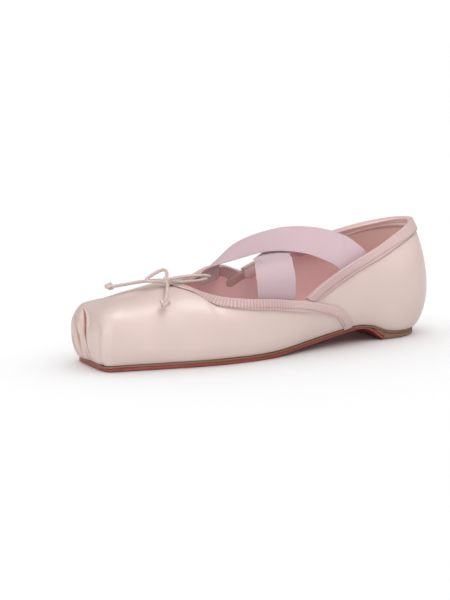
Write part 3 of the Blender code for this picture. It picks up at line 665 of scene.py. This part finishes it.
def surface_tree(shape):
    """Tree of a shape's surface, which takes the place of the shape."""
    tree = BVHTree.FromBMesh(shape)
    shape.free()
    return tree


def subdivided(shape, levels):
    """Mesh of the shape after this many levels of smooth subdivision."""
    data = bpy.data.meshes.new("cage")
    shape.to_mesh(data)
    cage = linked("cage", data)
    subdivision = cage.modifiers.new("round", "SUBSURF")
    subdivision.levels = levels
    subdivision.render_levels = levels
    graph = bpy.context.evaluated_depsgraph_get()
    smooth = bpy.data.meshes.new_from_object(cage.evaluated_get(graph))
    bpy.data.objects.remove(cage)
    bpy.data.meshes.remove(data)
    return smooth


def rounded(shape, levels, fits=2):
    """Smooth shape that still passes through the solid's own points."""
    wanted = [vert.co.copy() for vert in shape.verts]
    for _ in range(fits):
        smooth = subdivided(shape, 1)
        for vert, aim in zip(shape.verts, wanted):
            vert.co += (aim - smooth.vertices[vert.index].co) * 0.9
        bpy.data.meshes.remove(smooth)
    smooth = subdivided(shape, levels)
    shape.free()
    result = bmesh.new()
    result.from_mesh(smooth)
    bpy.data.meshes.remove(smooth)
    result.normal_update()
    return result


def moved(shape, moves):
    """Move a shape's points, each by its own entry."""
    for vert, move in moves.items():
        vert.co += move
    shape.normal_update()


def kept_numbers(shape, *names):
    """Layers that keep numbers on a shape's points, for its finish."""
    return [shape.verts.layers.float.new(name) for name in names]


def linked(name, data):
    """New object in the scene."""
    made = bpy.data.objects.new(name, data)
    bpy.context.scene.collection.objects.link(made)
    return made


def mesh_object(shape, name, finishes):
    """New object of a shape, with its finishes."""
    data = bpy.data.meshes.new(name)
    shape.to_mesh(data)
    shape.free()
    for finish in finishes:
        data.materials.append(finish)
    return linked(name, data)


def add_piece(shape, name, finishes, slot, *nodes):
    """Turn a shape into a finished piece that rides on the shoe and replaces these nodes."""
    piece = mesh_object(shape, name, finishes)
    piece.data.shade_smooth()
    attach(piece, BODY)
    if nodes:
        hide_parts(*nodes)
    return piece


def made_of(made, kind):
    """Points or edges that an operator made."""
    return [item for item in made["geom"] if isinstance(item, kind)]


def eased(values, times):
    """Values in a row with their sharp turns eased, the ends kept."""
    for _ in range(times):
        middle = [(a + b * 2 + c) / 4 for a, b, c in zip(values, values[1:], values[2:])]
        values = [values[0]] + middle + [values[-1]]
    return values


def smooth_route(points, step):
    """Points about one step apart on a smooth curve through the given points."""
    guided = [points[0] * 2 - points[1]] + points + [points[-1] * 2 - points[-2]]
    route = []
    for a, b, c, d in zip(guided, guided[1:], guided[2:], guided[3:]):
        count = max(1, round((c - b).length / step))
        for k in range(count):
            t = k / count
            route.append(0.5 * (2 * b + (c - a) * t + (2 * a - 5 * b + 4 * c - d) * t * t
                                + (3 * b - a - 3 * c + d) * t ** 3))
    return route + [points[-1]]


class Guide:
    """Line along a long thin piece, to measure along it and across it.

    order sorts its points along it, count is how many groups they are averaged in, and turn is 1
    or -1, so that down always points away from the tape's free edge.
    """

    def __init__(self, shape, order, count, turn):
        points = [vert.co.copy() for vert in shape.verts]
        keys = [order(point) for point in points]
        low = min(keys)
        span = max(keys) - low
        rows = [[] for _ in range(count)]
        for point, key in zip(points, keys):
            rows[min(count - 1, int((key - low) / span * count))].append(point)
        self.line = eased([sum(row, Vector()) / len(row) for row in rows if row], 4)
        self.turn = turn
        self.lengths = [0.0]
        for a, b in zip(self.line, self.line[1:]):
            self.lengths.append(self.lengths[-1] + (b - a).length)
        self.tree = KDTree(len(self.line))
        for i, point in enumerate(self.line):
            self.tree.insert(point, i)
        self.tree.balance()

    def at(self, point):
        """Distance along the line, nearest place on it and the direction of the line there."""
        index = self.tree.find(point)[1]
        best = None
        for i in (index - 1, index):
            if 0 <= i < len(self.line) - 1:
                a = self.line[i]
                step = self.line[i + 1] - a
                share = min(1.0, max(0.0, (point - a).dot(step) / step.length_squared))
                place = a + step * share
                gap = (point - place).length
                if best is None or gap < best[0]:
                    best = (gap, self.lengths[i] + step.length * share, place, i)
        _, distance, place, i = best
        before = self.line[max(0, i - 1)]
        after = self.line[min(len(self.line) - 1, i + 2)]
        return distance, place, (after - before).normalized()

    def axes(self, place, tangent):
        """Directions down the tape and out of the shoe, square to the line."""
        front, back = TAPE_MIDDLE
        out = place - Vector((0, min(back, max(front, place.y)), place.z))
        out -= tangent * out.dot(tangent)
        out.normalize()
        return tangent.cross(out) * self.turn, out

    def sides(self, point):
        """Along, distance from the line down the tape and out of the shoe, and those two directions."""
        distance, place, tangent = self.at(point)
        down, out = self.axes(place, tangent)
        return distance, (point - place).dot(down), (point - place).dot(out), (down, out)

    def place_at(self, along):
        """Place on the line at this distance along it."""
        index = 0
        while index < len(self.lengths) - 2 and self.lengths[index + 1] < along:
            index += 1
        share = (along - self.lengths[index]) / max(1e-9, self.lengths[index + 1] - self.lengths[index])
        return self.line[index].lerp(self.line[index + 1], min(1.0, max(0.0, share)))


# Upper

def row_at(rows, height):
    """Row of a table at this height, between its rows, or none above them."""
    ordered = sorted(rows)
    if height <= ordered[0][0]:
        return ordered[0]
    for low, high in zip(ordered, ordered[1:]):
        if height <= high[0]:
            share = (height - low[0]) / (high[0] - low[0])
            return tuple(a + (b - a) * share for a, b in zip(low, high))
    return None


def pleat_form(point):
    """Depth of the toe's pleats and waves here, sideways lean of a lip over its hollow, and the strength of
    the painted shade in the pleats.
    """
    front = 1.0 - fade_between((point.y - CAD_BOX[0].y) / MM, TOE_FRONT_REACH * 0.5, TOE_FRONT_REACH)
    if front <= 0:
        return 0.0, 0.0, 0.0
    x = (point.x - ROW_SHIFT.x) / MM
    z = point.z / MM
    depth = 0.0
    lean = 0.0
    shade = 0.0
    for _, lip, width, deepest, shade_strength in filter(None, (row_at(rows, z) for rows in TOE_PLEATS)):
        inward = lip - x
        if inward > 0:
            hollow = 1.0 - fade_between(inward, width * 0.5, width * 1.12)
        else:
            hollow = 1.0 - fade_between(-inward, 0.0, PLEAT_LIP)
            lean += PLEAT_LEAN * deepest * (1.0 - fade_between(-inward, PLEAT_LIP, PLEAT_LEAN_REACH))
        rise = bell((inward + 1.4) / 1.2) + bell((inward - width * 1.5) / (width * 0.3 + 0.6))
        depth += deepest * (hollow - PLEAT_ROLL * rise)
        # Painted shade for the satin's colour, strongest down in a pleat's hollow
        shade = max(shade, min(1.0, hollow * 2.5) * shade_strength)
    for _, middle, half_width, deepest in filter(None, (row_at(rows, z) for rows in TOE_WAVES)):
        depth += deepest * bell((x - middle) / half_width)
    return depth * front, lean * front, shade * front


def satin_relief(point, settings):
    """Height of the satin's relief here and its sideways lean, in metres, and the strength of the pleats'
    painted shade.
    """
    depth, lean, shade = pleat_form(point)
    height = -depth * MM * settings.pleat_scale
    for row in SOFT_DENTS:
        share, (dent,) = nearness(point / MM, row)
        height -= dent * MM * share
    height += noise.noise(Vector((point.x * 45, point.y * 30, point.z * 60))) * settings.wave_depth
    return height, lean * MM * settings.pleat_scale, shade


def satin_sag(point):
    """Move of the satin here where it hangs over the sole."""
    move = Vector()
    for row in SATIN_SAGS:
        share, (out, drop) = nearness(point / MM, row)
        side = Vector((point.x, point.y * 0.5, 0)).normalized() * out
        move += (side - Vector((0, 0, drop))) * MM * share
    return move


def refine(shape, chosen):
    """Cut the edges of the chosen faces in two."""
    edges = {edge for face in shape.faces if chosen(face) for edge in face.edges}
    bmesh.ops.subdivide_edges(shape, edges=list(edges), cuts=1, use_grid_fill=True)
    shape.normal_update()


def is_outer(face):
    """Whether a face of the upper looks out of the shoe."""
    centre = face.calc_center_median()
    front, back = UPPER_MIDDLE
    middle = Vector((0, min(back, max(front, centre.y)), UPPER_MIDDLE_HEIGHT))
    return (centre - middle).dot(face.normal) > 0


def is_pleated(face):
    """Whether a face lies in a pleat of the toe or on its lip."""
    depth, lean, _ = pleat_form(face.calc_center_median())
    return abs(depth) > 0.5 or lean > 0.1


def make_upper(settings):
    """Satin upper with pleats at the toe; its inner faces are the lining."""
    shape = rounded(clean_copy("upper"), 2)
    for reach in (0.014, 0.008):
        refine(shape, lambda face: face.calc_center_median().y < CAD_BOX[0].y + reach and is_outer(face))
    refine(shape, lambda face: is_outer(face) and is_pleated(face))
    # The pleat layer keeps the pleats' painted shade for the satin's colour
    (pleat,) = kept_numbers(shape, "pleat")
    outer = {face: is_outer(face) for face in shape.faces}
    moves = {}
    for vert in shape.verts:
        facing = sum(1 if outer[face] else -1 for face in vert.link_faces)
        out = vert.normal if facing >= 0 else -vert.normal
        height, lean, vert[pleat] = satin_relief(vert.co, settings)
        moves[vert] = out * height - Vector((lean, 0, 0))
        if facing >= 0:
            moves[vert] += satin_sag(vert.co)
    moved(shape, moves)
    for face, looks_out in outer.items():
        face.material_index = 0 if looks_out else 1
    add_piece(shape, "satin_upper", (satin_finish(settings), lining_finish(settings)), "satin", "upper")


# Bindings

def turn_about(centre_y, facing):
    """Measure of how far round a point lies about a place, from straight ahead where facing is -1."""
    return lambda point: math.atan2(point.x, facing * (point.y - centre_y))


class Tape:
    """Rounded copy of a tape with its guide and, in rows along it, the least distance down it."""

    def __init__(self, node, order, count, rows, turn):
        self.shape = rounded(clean_copy(node), 3)
        self.guide = Guide(self.shape, order, count, turn)
        self.span = self.guide.lengths[-1]
        self.row = self.span / rows
        tops = [0.0] * rows
        for vert in self.shape.verts:
            along, down, *_ = self.guide.sides(vert.co)
            index = min(rows - 1, int(along / self.span * rows))
            tops[index] = min(tops[index], down)
        self.tops = eased(tops, 6)

    def top(self, along):
        """Least distance down the tape at this distance along it."""
        position = along / self.row - 0.5
        index = min(len(self.tops) - 2, max(0, int(position)))
        share = min(1.0, max(0.0, position - index))
        return self.tops[index] * (1 - share) + self.tops[index + 1] * share

    def from_end(self, along):
        """Distance to the nearer end of the tape."""
        return min(along, self.span - along)

    def spot(self, tree, along, down):
        """Place on the tape's outer face this far along and down it, the tape's way and the way out."""
        _, place, tangent = self.guide.at(self.guide.place_at(along))
        down_way, out_way = self.guide.axes(place, tangent)
        hit, normal, _, _ = tree.ray_cast(place + down_way * down + out_way * 0.006, -out_way)
        return (hit, tangent, normal) if hit else None

    def stitches(self, down_at, settings, margin):
        """Row of small stitches: down_at gives how far down the tape they lie, margin their ends."""
        tree = BVHTree.FromBMesh(self.shape)
        row = bmesh.new()
        size = Matrix.Diagonal((settings.stitch_length / 2, STITCH_WIDTH / 2, STITCH_HEIGHT / 2))
        along = margin
        while along < self.span - margin:
            spot = self.spot(tree, along, down_at(along))
            if spot:
                place, tangent, out = spot
                made = bmesh.ops.create_icosphere(row, subdivisions=1, radius=1.0)
                side = tangent.cross(out).normalized()
                turn = Matrix((tangent, side, side.cross(tangent).normalized())).transposed()
                bmesh.ops.transform(row, verts=made["verts"],
                                    matrix=Matrix.Translation(place) @ (turn @ size).to_4x4())
            along += settings.stitch_pitch
        return row


def tape_move(ways, from_top, out, narrow):
    """Move that narrows a tape by this share and lays the foot of its outer leaf on the satin."""
    down_way, out_way = ways
    move = down_way * -max(0.0, from_top) * narrow
    if out > 0:
        move -= out_way * TAPE_LAID * fade_between(from_top, *TAPE_FOOT)
    return move


def slide_along(wall, point, move):
    """Move bent so that the point keeps its height over the wall's surface."""
    near, facing, _, _ = wall.find_nearest(point)
    height = (point - near).dot(facing)
    near, facing, _, _ = wall.find_nearest(point + move)
    return near + facing * height - point


def throat_width(from_end, from_middle):
    """Share by which the throat's binding is narrowed; it is widened at the very front."""
    sides = fade_between(from_end, *NARROW_FROM_END) * fade_between(from_middle, *NARROW_FROM_MIDDLE)
    front = fade_between(from_middle, *WIDE_FROM_MIDDLE) * (1.0 - fade_between(from_middle, *WIDE_TO))
    return THROAT_NARROWER * sides - FRONT_WIDER * front


def make_throat_binding(settings, thread):
    """Gathered binding round the throat and down the vamp's rear edges, with its stitches."""
    tape = Tape("vamp_tape", turn_about(-0.020, -1), count=260, rows=120, turn=1)
    along_layer, groove_shade_layer, gathered_layer = kept_numbers(tape.shape, "along", "groove", "gathered")
    wall = surface_tree(rounded(clean_copy("upper"), 1))
    moves = {}
    for vert in tape.shape.verts:
        along, down, out, ways = tape.guide.sides(vert.co)
        from_end = tape.from_end(along)
        from_middle = abs(along - tape.span / 2)
        gathered = fade_between(from_end, *GATHERS_FROM_END)
        gathered *= 0.35 + 0.65 * fade_between(from_middle, *GATHERS_FROM_MIDDLE)
        jitter = GATHER_JITTER * noise.noise(Vector((along * 90, 3.1, 0)))
        wave = math.sin((along + jitter) * 2 * math.pi / settings.rib_pitch)
        hollow = (0.5 - 0.5 * wave) ** 1.3 * gathered
        from_top = down - tape.top(along)
        edge = fade_between(from_top, 0.0, 0.0012)
        vert[along_layer] = along
        # Painted shade in the hollows of the gathered ribs
        vert[groove_shade_layer] = hollow * (0.4 + 0.6 * edge)
        vert[gathered_layer] = gathered
        narrow = throat_width(from_end, from_middle)
        move = tape_move(ways, from_top, out, narrow)
        if narrow < 0 and out > 0:
            move = slide_along(wall, vert.co, move)
        moves[vert] = vert.normal * -settings.rib_depth * hollow * (0.35 + 0.65 * edge) + move
    moved(tape.shape, moves)

    def stitch_depth(along):
        """Distance down the tape: near its foot round the throat, near its middle at the rear edges."""
        return tape.top(along) + THROAT_STITCHES if tape.from_end(along) > REAR_EDGE else REAR_STITCHES

    stitches = tape.stitches(stitch_depth, settings, margin=0.003)
    add_piece(tape.shape, "throat_binding", (throat_binding_finish(settings),), "tape", "vamp_tape")
    add_piece(stitches, "throat_stitches", (thread,), "tape")


def make_collar_binding(settings, thread):
    """Binding round the collar, lined along its length near the vamp, with its stitches."""
    tape = Tape("quarter_tape", turn_about(0.040, 1), count=220, rows=110, turn=-1)
    groove_shade_layer, lit_inner_layer, piping_highlight_layer = kept_numbers(tape.shape, "groove", "inner", "piping")
    moves = {}
    for vert in tape.shape.verts:
        along, down, out, ways = tape.guide.sides(vert.co)
        from_end = tape.from_end(along)
        from_top = down - tape.top(along)
        hollow = tape_line(from_top, settings, 0.6) * (1.0 - 0.75 * fade_between(from_end, *LINES_FROM_END))
        # Painted light on the inner face of the tape
        inside = (1.0 - fade_between(out, -0.0006, 0.0)) * fade_between(from_top, *LIT_INNER_FACE)
        # Painted highlight line along the inner face's lower edge, round the heel
        piping = fade_between(from_top, *PIPING_HIGHLIGHT) * fade_between(from_end, *PIPING_HIGHLIGHT_FROM_END)
        # Painted shade in the hollows of the lines along the tape
        vert[groove_shade_layer] = hollow
        vert[lit_inner_layer] = inside
        vert[piping_highlight_layer] = inside * piping
        move = tape_move(ways, from_top, out, COLLAR_NARROWER)
        moves[vert] = vert.normal * -settings.line_depth * hollow + move
    moved(tape.shape, moves)
    stitches = tape.stitches(lambda along: tape.top(along) + COLLAR_STITCHES, settings, margin=0.010)
    finish = collar_binding_finish(settings)
    add_piece(tape.shape, "collar_binding", (finish,), "tape", "quarter_tape")
    make_tail("binding_tail_inner", settings, finish)
    add_piece(stitches, "collar_stitches", (thread,), "tape")


def tape_line(across, settings, start=0.0):
    """Depth of the lines along a tape, from 0 to 1, at this distance across it."""
    wave = math.sin(across * 2 * math.pi / settings.line_pitch + start)
    return (0.5 - 0.5 * wave) ** 1.5


def wall_reach(trees, place):
    """Distance from the shoe's middle to the inside of its inner wall here, or just below its topline."""
    for k in range(12):
        start = Vector((-0.012, place.y, place.z - k * MM))
        hits = [tree.ray_cast(start, Vector((-1, 0, 0)))[0] for tree in trees]
        reach = [abs(hit.x) for hit in hits if hit]
        if reach:
            return min(reach)
    raise RuntimeError("the wall wasn't found")


def make_tail(name, settings, finish):
    """End of the quarter's binding inside the wall, which runs down over the vamp's turned-in edge."""
    trees = [surface_tree(clean_copy(node)) for node in ("upper", "vamp_tape")]
    start = Vector((0, ROW_SHIFT.y, ROW_SHIFT.z))
    line = smooth_route([Vector((0, y, z)) * MM + start for y, z in TAIL_ROUTE], 0.0005)
    last = len(line) - 1
    shape = bmesh.new()
    (groove_shade_layer,) = kept_numbers(shape, "groove")
    bmesh.ops.create_grid(shape, x_segments=last, y_segments=TAIL_COLUMNS - 1, size=1.0)
    rows = {}
    for vert in shape.verts:
        rows[round((vert.co.x + 1) / 2 * last), round((vert.co.y + 1) / 2 * (TAIL_COLUMNS - 1))] = vert
    for (i, j), vert in rows.items():
        ahead = (line[min(i + 1, last)] - line[max(i - 1, 0)]).normalized()
        end_round = math.sqrt(min(1.0, (line[last] - line[i]).length / (3.0 * MM) + 0.08))
        offset = TAIL_WIDTH / 2 * MM * end_round * (j / (TAIL_COLUMNS - 1) * 2 - 1)
        place = line[i] + Vector((0, -ahead.z, ahead.y)) * offset
        place.x = -wall_reach(trees, place)
        vert.co = place
        # Painted shade in the hollows of the tail's lines
        vert[groove_shade_layer] = tape_line(offset, settings) * 0.8
    for _ in range(TAIL_SMOOTHINGS):
        smooth = {}
        for (i, j), vert in rows.items():
            near = [rows[k] for k in ((i - 1, j), (i + 1, j), (i, j - 1), (i, j + 1)) if k in rows]
            smooth[vert] = -min(abs(vert.co.x), abs(sum(n.co.x for n in near) / len(near)))
        for vert, x in smooth.items():
            vert.co.x = x
    for (i, j), vert in rows.items():
        crown = 0.25 + 0.55 * (1 - abs(j / (TAIL_COLUMNS - 1) * 2 - 1) ** 4)
        vert.co.x += crown * MM
    bmesh.ops.recalc_face_normals(shape, faces=shape.faces)
    if sum(face.normal.x for face in shape.faces) < 0:
        bmesh.ops.reverse_faces(shape, faces=shape.faces)
    bmesh.ops.solidify(shape, geom=shape.faces[:], thickness=TAIL_THICKNESS)
    bmesh.ops.recalc_face_normals(shape, faces=shape.faces)
    add_piece(shape, name, (finish,), "tape")


# Straps

def make_strap(node, name, slant, finish):
    """Woven elastic strap, whose inner end is nearer the toe (slant 1) or nearer the heel (slant -1)."""
    shape = rounded(clean_copy(node), 3, 0)
    for pull in STRAP_PULLS[node]:
        soft_pull(shape, pull)
    low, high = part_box(node)
    heading = Vector((low.x - high.x, (low.y - high.y) * slant, 0)).normalized()
    guide = Guide(shape, lambda point: point.dot(heading), count=60, turn=1)
    along_layer, across_layer, rim_layer = kept_numbers(shape, "along", "across", "rim")
    for vert in shape.verts:
        along, place, tangent = guide.at(vert.co)
        level = tangent.cross(Vector((0, 0, 1)))
        if level.length < 0.2:
            level = Vector((-heading.y, heading.x, 0))
        across = (vert.co - place).dot(level.normalized())
        vert[along_layer] = along
        vert[across_layer] = across
        vert[rim_layer] = fade_between(abs(across), STRAP_WIDTH / 2 - STRAP_RIM[0],
                                       STRAP_WIDTH / 2 - STRAP_RIM[1])
    add_piece(shape, name, (finish,), "elastic", node)


# Bow

def cord_tube(route, radius, sides):
    """Round tube along a route, with the distance along and around kept on it."""
    shape = bmesh.new()
    along_layer, around_layer = kept_numbers(shape, "along", "around")
    ring = bmesh.ops.create_circle(shape, cap_ends=False, segments=sides, radius=radius)["verts"]
    rim = shape.edges[:]
    first_rim = shape.edges[:]
    tangents = []
    for before, after in zip([route[0]] + route, route[1:] + [route[-1]]):
        tangents.append((after - before).normalized())
    turn = Vector((0, 0, 1)).rotation_difference(tangents[0])
    for k, vert in enumerate(ring):
        vert[around_layer] = k / sides
    bmesh.ops.transform(shape, verts=ring, matrix=Matrix.Translation(route[0]) @ turn.to_matrix().to_4x4())
    distance = 0.0
    for i in range(1, len(route)):
        made = bmesh.ops.extrude_edge_only(shape, edges=rim)
        rim = made_of(made, bmesh.types.BMEdge)
        distance += (route[i] - route[i - 1]).length
        bend = tangents[i - 1].rotation_difference(tangents[i]).to_matrix()
        for vert in made_of(made, bmesh.types.BMVert):
            vert.co = route[i] + bend @ (vert.co - route[i - 1])
            vert[along_layer] = distance
    close_end(shape, first_rim, route[0], -tangents[0], radius)
    close_end(shape, rim, route[-1], tangents[-1], radius)
    bmesh.ops.recalc_face_normals(shape, faces=shape.faces)
    return shape


def close_end(shape, edges, centre, direction, radius):
    """Rounded cap on a tube's end, through two smaller rings further ahead."""
    for share, ahead in ((0.80, 0.385), (0.35, 0.616)):
        made = bmesh.ops.extrude_edge_only(shape, edges=edges)
        edges = made_of(made, bmesh.types.BMEdge)
        for vert in made_of(made, bmesh.types.BMVert):
            offset = vert.co - centre
            flat = offset - direction * offset.dot(direction)
            vert.co = centre + (flat.normalized() * share + direction * ahead) * radius
    bmesh.ops.holes_fill(shape, edges=edges)


def tied_route(centre, size, lean):
    """Closed route of a small overhand knot round a centre: a trefoil turned by lean, then scaled."""
    route = []
    for k in range(KNOT_STEPS + 1):
        t = 2 * math.pi * k / KNOT_STEPS
        point = Vector((math.sin(t) + 2 * math.sin(2 * t), math.cos(t) - 2 * math.cos(2 * t),
                        -1.5 * math.sin(3 * t)))
        point.rotate(lean)
        route.append(centre + Vector(part / 3.0 * scale * MM for part, scale in zip(point, size)))
    return route


def make_bow(settings):
    """Bow of the drawstring: two cords out of the knot, each with a loop and a knotted end."""
    finish = cord_finish(settings)
    for name, (node, place, size, lean) in KNOTS.items():
        route = tied_route(in_row(place), size, Euler(lean))
        shape = cord_tube(route, settings.diameter * KNOT_CORD, settings.sides)
        add_piece(shape, name, (finish,), "cord", node)
    for name, (points, knot, nodes) in CORDS.items():
        route = eased(smooth_route([in_row(point) for point in points], CORD_STEP), CORD_EASINGS)
        shape = cord_tube(route, settings.diameter / 2, settings.sides)
        piece = add_piece(shape, name, (finish,), "cord", *nodes)
        route_length = sum((b - a).length for a, b in zip(route, route[1:]))


# Sole and insole

def is_sharp(edge):
    """Whether the faces on both sides of an edge meet at a corner."""
    return len(edge.link_faces) == 2 and edge.calc_face_angle() > math.radians(38)


def make_layer(node, name, finish, slot, edge_round, rise=0.0, set_back=0.0):
    """One leather layer of the sole: outline smoothed, edges softened, top raised to meet the next.

    set_back is how far its outer toe corner lies behind the solid's.
    """
    shape = clean_copy(node)
    shape.normal_update()
    for vert in shape.verts:
        vert.co.y += HEEL_REACH * MM * fade_between(CAD_BOX[1].y - vert.co.y, *HEEL_FADE)
        outer = fade_between(vert.co.x, *CORNER_FADE)
        vert.co.y += set_back * outer * (1.0 - fade_between(vert.co.y - CAD_BOX[0].y, *CORNER_FADE))
    top = [vert for vert in shape.verts if max(face.normal.z for face in vert.link_faces) > 0.8]
    bmesh.ops.translate(shape, verts=top, vec=(0, 0, rise))
    creases = shape.edges.layers.float.new("crease_edge")
    for edge in shape.edges:
        edge[creases] = 1.0 if is_sharp(edge) else 0.0
    shape = rounded(shape, 2)
    sharp = [edge for edge in shape.edges if is_sharp(edge)]
    bmesh.ops.bevel(shape, geom=sharp, offset=edge_round, offset_type="OFFSET", segments=3, profile=0.5,
                    affect="EDGES", material=-1, clamp_overlap=True)
    add_piece(shape, name, (finish,), slot, node)


# Stage

def aim_camera(settings):
    """Camera at the photograph's angle to the shoe, with the picture's own shift."""
    a = settings.azimuth
    e = settings.elevation
    back = Vector((math.sin(a) * math.cos(e), -math.cos(a) * math.cos(e), math.sin(e)))
    right = Vector((math.cos(a), math.sin(a), 0))
    place = Vector((0, 0, AIM_HEIGHT)) + ROW_SHIFT + back * settings.distance
    camera = linked("camera", bpy.data.cameras.new("camera"))
    turn = Matrix((right, back.cross(right), back)).transposed()
    camera.matrix_world = Matrix.Translation(place) @ turn.to_4x4()
    camera.data.sensor_width = SENSOR_WIDTH
    camera.data.lens = FOCAL_PIXELS / PICTURE_HEIGHT * SENSOR_WIDTH
    camera.data.shift_x = -(AIM_PIXEL[0] - PICTURE_WIDTH / 2) / PICTURE_HEIGHT
    camera.data.shift_y = (AIM_PIXEL[1] - PICTURE_HEIGHT / 2) / PICTURE_HEIGHT
    bpy.context.scene.camera = camera


def turned_light(name, kind, energy, track, axis):
    """New light whose axis is turned along a direction."""
    data = bpy.data.lights.new(name, kind)
    data.energy = energy
    light = linked(name, data)
    light.rotation_mode = "QUATERNION"
    light.rotation_quaternion = track.to_track_quat(axis, "Y")
    return light


def make_lights(settings, floor):
    """Soft lights on the shoe alone, and a broad one on the floor alone for a soft shadow."""
    unlit = bpy.data.collections.new("unlit_floor")
    unlit.objects.link(floor)
    unlit.collection_objects[0].light_linking.link_state = "EXCLUDE"
    for name, (place, target, width, height) in LIGHTS.items():
        track = Vector(target) - Vector(place)
        light = turned_light(name, "AREA", getattr(settings, name), track, "-Z")
        light.location = place
        light.data.shape = "RECTANGLE"
        light.data.size = width
        light.data.size_y = height
        light.light_linking.receiver_collection = unlit
    light = turned_light("floor_light", "SUN", settings.floor_light, Vector((-0.4, 0.3, 1.0)), "Z")
    light.data.angle = math.radians(150)
    lit = bpy.data.collections.new("lit_floor")
    lit.objects.link(floor)
    light.light_linking.receiver_collection = lit


def make_floor(settings):
    """Pale floor just below the sole."""
    shape = bmesh.new()
    bmesh.ops.create_grid(shape, x_segments=1, y_segments=1, size=60.0)
    finish = Finish("pale_floor", 0.6, specular=0.0)
    finish.set("Base Color", settings.floor)
    floor = mesh_object(shape, "floor", (finish.material,))
    floor.location.z = -0.0002
    return floor


def make_backdrop():
    """White wall round the stage, which is only looked at and lights nothing."""
    shape = bmesh.new()
    bmesh.ops.create_circle(shape, cap_ends=False, segments=96, radius=9.0)
    made = bmesh.ops.extrude_edge_only(shape, edges=shape.edges[:])
    bmesh.ops.translate(shape, verts=made_of(made, bmesh.types.BMVert), vec=(0, 0, 12.0))
    finish = Finish("white_backdrop", 0.9, specular=0.0)
    finish.set("Base Color", (0, 0, 0))
    finish.set("Emission Color", (1, 1, 1))
    finish.set("Emission Strength", 1.02)
    backdrop = mesh_object(shape, "backdrop", (finish.material,))
    backdrop.visible_diffuse = False
    backdrop.visible_glossy = False
    backdrop.visible_shadow = False


def make_stage(settings):
    """Camera, floor, backdrop, even world light and soft lights."""
    aim_camera(settings)
    floor = make_floor(settings)
    make_backdrop()
    world = bpy.data.worlds.new("studio")
    world.use_nodes = True
    world.node_tree.nodes["Background"].inputs["Color"].default_value = (1, 1, 1, 1)
    world.node_tree.nodes["Background"].inputs["Strength"].default_value = settings.world
    bpy.context.scene.world = world
    make_lights(settings, floor)
    bpy.context.scene.view_settings.view_transform = "Standard"


# Operators and panel

class BALLET_OT_stage(bpy.types.Operator):
    """Make the camera, the floor and the lights"""
    bl_idname = "ballet_flat.stage"
    bl_label = "Stage"

    def execute(self, context):
        make_stage(context.scene.ballet_stage)
        return {"FINISHED"}


class BALLET_OT_bow(bpy.types.Operator):
    """Tie the drawstring's bow"""
    bl_idname = "ballet_flat.bow"
    bl_label = "Bow"

    def execute(self, context):
        make_bow(context.scene.ballet_bow)
        return {"FINISHED"}


class BALLET_OT_upper(bpy.types.Operator):
    """Make the satin upper and its lining"""
    bl_idname = "ballet_flat.upper"
    bl_label = "Upper"

    def execute(self, context):
        make_upper(context.scene.ballet_upper)
        return {"FINISHED"}


class BALLET_OT_bindings(bpy.types.Operator):
    """Bind the throat and the collar and stitch them"""
    bl_idname = "ballet_flat.bindings"
    bl_label = "Bindings"

    def execute(self, context):
        settings = context.scene.ballet_binding
        thread = thread_finish(settings)
        make_throat_binding(settings, thread)
        make_collar_binding(settings, thread)
        return {"FINISHED"}


class BALLET_OT_straps(bpy.types.Operator):
    """Make the crossed elastic straps"""
    bl_idname = "ballet_flat.straps"
    bl_label = "Straps"

    def execute(self, context):
        finish = elastic_finish(context.scene.ballet_strap)
        make_strap("strap_over", "elastic_over", 1, finish)
        make_strap("strap_under", "elastic_under", -1, finish)
        return {"FINISHED"}


class BALLET_OT_sole(bpy.types.Operator):
    """Make the leather layers of the sole and the insole"""
    bl_idname = "ballet_flat.sole"
    bl_label = "Sole"

    def execute(self, context):
        settings = context.scene.ballet_sole
        edge = edge_finish(settings)
        make_layer("outsole", "leather_outsole", sole_finish(settings), "sole_leather",
                   edge_round=0.00015, rise=0.00028, set_back=0.0034)
        make_layer("midsole", "leather_midsole", edge, "edge_leather",
                   edge_round=0.00015, rise=0.0003, set_back=0.0014)
        make_layer("heel_lift", "leather_heel", edge, "edge_leather", edge_round=0.0002, rise=0.00028)
        make_layer("insole", "leather_insole", insole_finish(settings), "lining", edge_round=0.0004)
        return {"FINISHED"}


class BALLET_PT_panel(bpy.types.Panel):
    """Buttons of the ballet flat"""
    bl_idname = "BALLET_PT_panel"
    bl_label = "Ballet flat"
    bl_space_type = "VIEW_3D"
    bl_region_type = "UI"
    bl_category = "Ballet flat"

    def draw(self, context):
        for operator in OPERATORS:
            self.layout.operator(operator.bl_idname)


SETTINGS = {
    "ballet_upper": UpperSettings,
    "ballet_binding": BindingSettings,
    "ballet_strap": StrapSettings,
    "ballet_bow": BowSettings,
    "ballet_sole": SoleSettings,
    "ballet_stage": StageSettings,
}
OPERATORS = (BALLET_OT_stage, BALLET_OT_bow, BALLET_OT_upper, BALLET_OT_bindings, BALLET_OT_straps,
             BALLET_OT_sole)


def register():
    """Register the settings, the operators and the panel."""
    for name, group in SETTINGS.items():
        bpy.utils.register_class(group)
        setattr(bpy.types.Scene, name, PointerProperty(type=group))
    for operator in OPERATORS:
        bpy.utils.register_class(operator)
    bpy.utils.register_class(BALLET_PT_panel)


def unregister():
    """Take the panel, the operators and the settings away."""
    bpy.utils.unregister_class(BALLET_PT_panel)
    for operator in reversed(OPERATORS):
        bpy.utils.unregister_class(operator)
    for name, group in SETTINGS.items():
        delattr(bpy.types.Scene, name)
        bpy.utils.unregister_class(group)


def main():
    """Make every piece and the stage."""
    register()
    bpy.ops.ballet_flat.stage()
    bpy.ops.ballet_flat.bow()
    bpy.ops.ballet_flat.upper()
    bpy.ops.ballet_flat.bindings()
    bpy.ops.ballet_flat.straps()
    bpy.ops.ballet_flat.sole()


if __name__ == "__main__":
    main()
